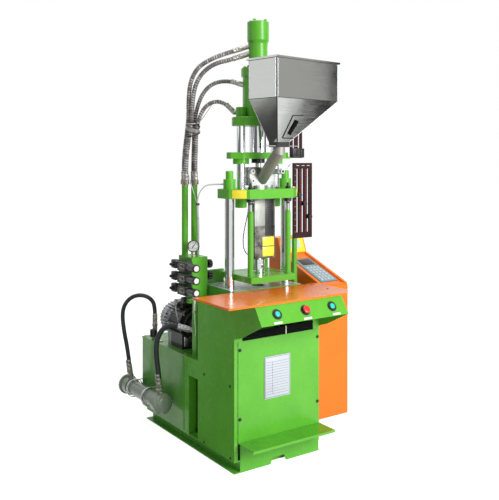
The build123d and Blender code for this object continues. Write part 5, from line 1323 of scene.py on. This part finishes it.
# %% Ruled plate, tags and bezels
border = [slab((a[0], -241.1, a[1]), (b[0], -240.4, b[1]), 0.2) for a, b in rim_bars((-126, 328), (22, 526))]
ruled = [slab((-118, -241.0, 344 + 13 * k), (14, -240.4, 345.4 + 13 * k), 0.2) for k in range(13)]
joined("blank_plate", "root", (plate_film, slab((-130, -240.6, 324), (26, -239.8, 530), 0.3)),
       (slate_film, *border, *ruled, slab((-84, -241.0, 344), (-82.4, -240.4, 500), 0.2)))
PANEL = sloped((0, -408, 822), atan2(-54, 82), "X")
joined("button_tags", "root", (white_tag, *[slab((x - 24, -1.0, -94), (x + 24, 0.3, -84), 0.3, PANEL)
                                            for x in (-209, -35, 143)]))
BEZEL = [(20.2, 0), (25, 0), (25.5, 0.8), (25.5, 3), (24.5, 4), (20.2, 4), (20.2, 0)]
panel_out = PANEL.to_3x3() @ Vector(FRONT)
joined("button_bezels", "root", (black_plastic, *[
    turned(BEZEL, PANEL @ (Vector((x, 0, -49)) * MM) / MM, panel_out) for x in (-200, -35, 130)]))
print("cabinet details ready")

# %% Desk rails, key panel and crest plate
DESK_SLOPE = atan2(132, 352)
DESK = sloped((0, -142, 812), DESK_SLOPE, "X")


def on_desk(x, up, out):
    """A point of the desk: across, up the slope and out of it."""
    return DESK @ (Vector((x, up, out)) * MM) / MM


joined("desk_frame", "root",
       (orange_enamel, slab((312, 4, -2), (330, 372, 9), 2, DESK), slab((479, 4, -2), (497, 372, 9), 2, DESK),
        slab((330, 4, -2), (479, 22, 6), 2, DESK)),
       (slate_film, slab((346, 46, -2), (470, 318, 2.4), 1.2, DESK)),
       (teal_film, slab((352, 52, 0), (464, 312, 3.4), 1.0, DESK)),
       (black_plastic, slab((366, 236, 2), (450, 300, 4.2), 1.0, DESK)))
blocks("desk_keys", [on_desk(372 + 24 * i, 74 + 26 * j, 3.3) for i in range(4) for j in range(6)],
       (DESK_SLOPE, 0, 0), (16, 16, 2.4), plate_film, taper=0.86)
blocks("desk_marks", [on_desk(376 + 10 * i, 304, 3.3) for i in range(8)], (DESK_SLOPE, 0, 0), (5, 3, 1),
       red_lens)
CREST = sloped((0, 210, 944), atan2(96, 37), "X")
joined("crest_plate", "root", (yellow_tag, slab((336, 10, -0.5), (490, 92, 1.2), 0.5, CREST)),
       (plate_film, slab((392, 34, 0.8), (462, 86, 1.8), 0.5, CREST)))
print("desk ready")

# %% [markdown]
# ## Behind and beside the cabinet
# Flanges are bolted all round. The bolts of one flange lie on a circle, so a short
# function gives their places. The motor's rear half wears cast cooling ribs.

# %% Bolt circles
def circle_spots(centre, radius, count, normal, start=0.0):
    """Places evenly round a circle that faces a normal."""
    stand = Vector(normal).to_track_quat("Z", "Y").to_matrix()
    angles = [start + 2 * pi * k / count for k in range(count)]
    return [Vector(centre) + stand @ Vector((radius * cos(a), radius * sin(a), 0)) for a in angles]


for title, centre, radius, count, normal, start, size, finish, body, sides in (
        ("cylinder_bolts", (0, 0, 1970), 70, 8, UP, 0.2, (8, 9), dark_steel, CLAMP, 16),
        ("cap_bolts", (0, 0, 2212), 42, 4, UP, 0.5, (6, 5), zinc_plate, CLAMP, 16),
        ("cooler_front_bolts", (-372, 355, 183), 50, 8, FRONT, 0.2, (4.5, 5), zinc_plate, "root", 6),
        ("cooler_back_bolts", (-372, 798, 183), 50, 8, BACK, 0.2, (4.5, 5), zinc_plate, "root", 6),
        ("motor_bolts", (-200, 333, 598), 76, 6, FRONT, 0.3, (4.5, 5), zinc_plate, "root", 16)):
    screws(title, circle_spots(centre, radius, count, normal, start), normal, *size, finish, body, sides)
screws("lid_screws", [(x, y, 462) for x in range(-290, 211, 100) for y in (252, 733)], UP, 5, 4, zinc_plate,
       sides=6)
joined("cooler_dome", "root", (grey_enamel, turned(
    [(48, 0), (46, 5), (36, 11), (20, 15), (0, 16), (0, 0), (48, 0)], (-372, 355, 183), FRONT)))
COOLER_BAND = [(49, -6), (51.5, -6), (52, -5), (52, 5), (51.5, 6), (49, 6), (49, -6)]
joined("cooler_bands", "root", (cast_alloy, *[turned(COOLER_BAND, (-372, y, 183), BACK) for y in (512, 700)]))
rib_turns = [2 * pi * k / 30 for k in range(30)]
blocks("motor_ribs", [(round(-200 + 80 * sin(a), 2), 512, round(598 + 80 * cos(a), 2)) for a in rib_turns],
       [(0, a, 0) for a in rib_turns], (4, 92, 11), cast_alloy, taper=0.8)
joined("terminal_box", "root",
       (motor_enamel, slab((-245, 372, 676), (-155, 452, 712), 5),
        slab((-249, 368, 708), (-151, 456, 716), 2)),
       (black_plastic, turned([(0, 0), (12, 0), (12, 8), (8, 10), (8, 20), (0, 20)], (-245, 412, 692), LEFT)))
screws("box_screws", [(x, y, 716) for x in (-242, -158) for y in (376, 448)], UP, 3, 2.5, zinc_plate)
print("flanges bolted")

# %% Louvres and tank plate
blocks("door_louvres", [(503.3, y, z) for y in (30, 150) for z in range(620, 760, 14)], (0, pi / 2, 0),
       (5, 90, 5), orange_enamel, taper=0.6)
joined("tank_plate", "root", (zinc_plate, slab((-300, 560, 462), (-262, 600, 466), 1)))
screws("plate_screws", [(-292, 568, 466), (-270, 592, 466)], UP, 4, 2, dark_steel)
print("rear details ready")


# %% Find the machine's bounds
low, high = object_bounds()
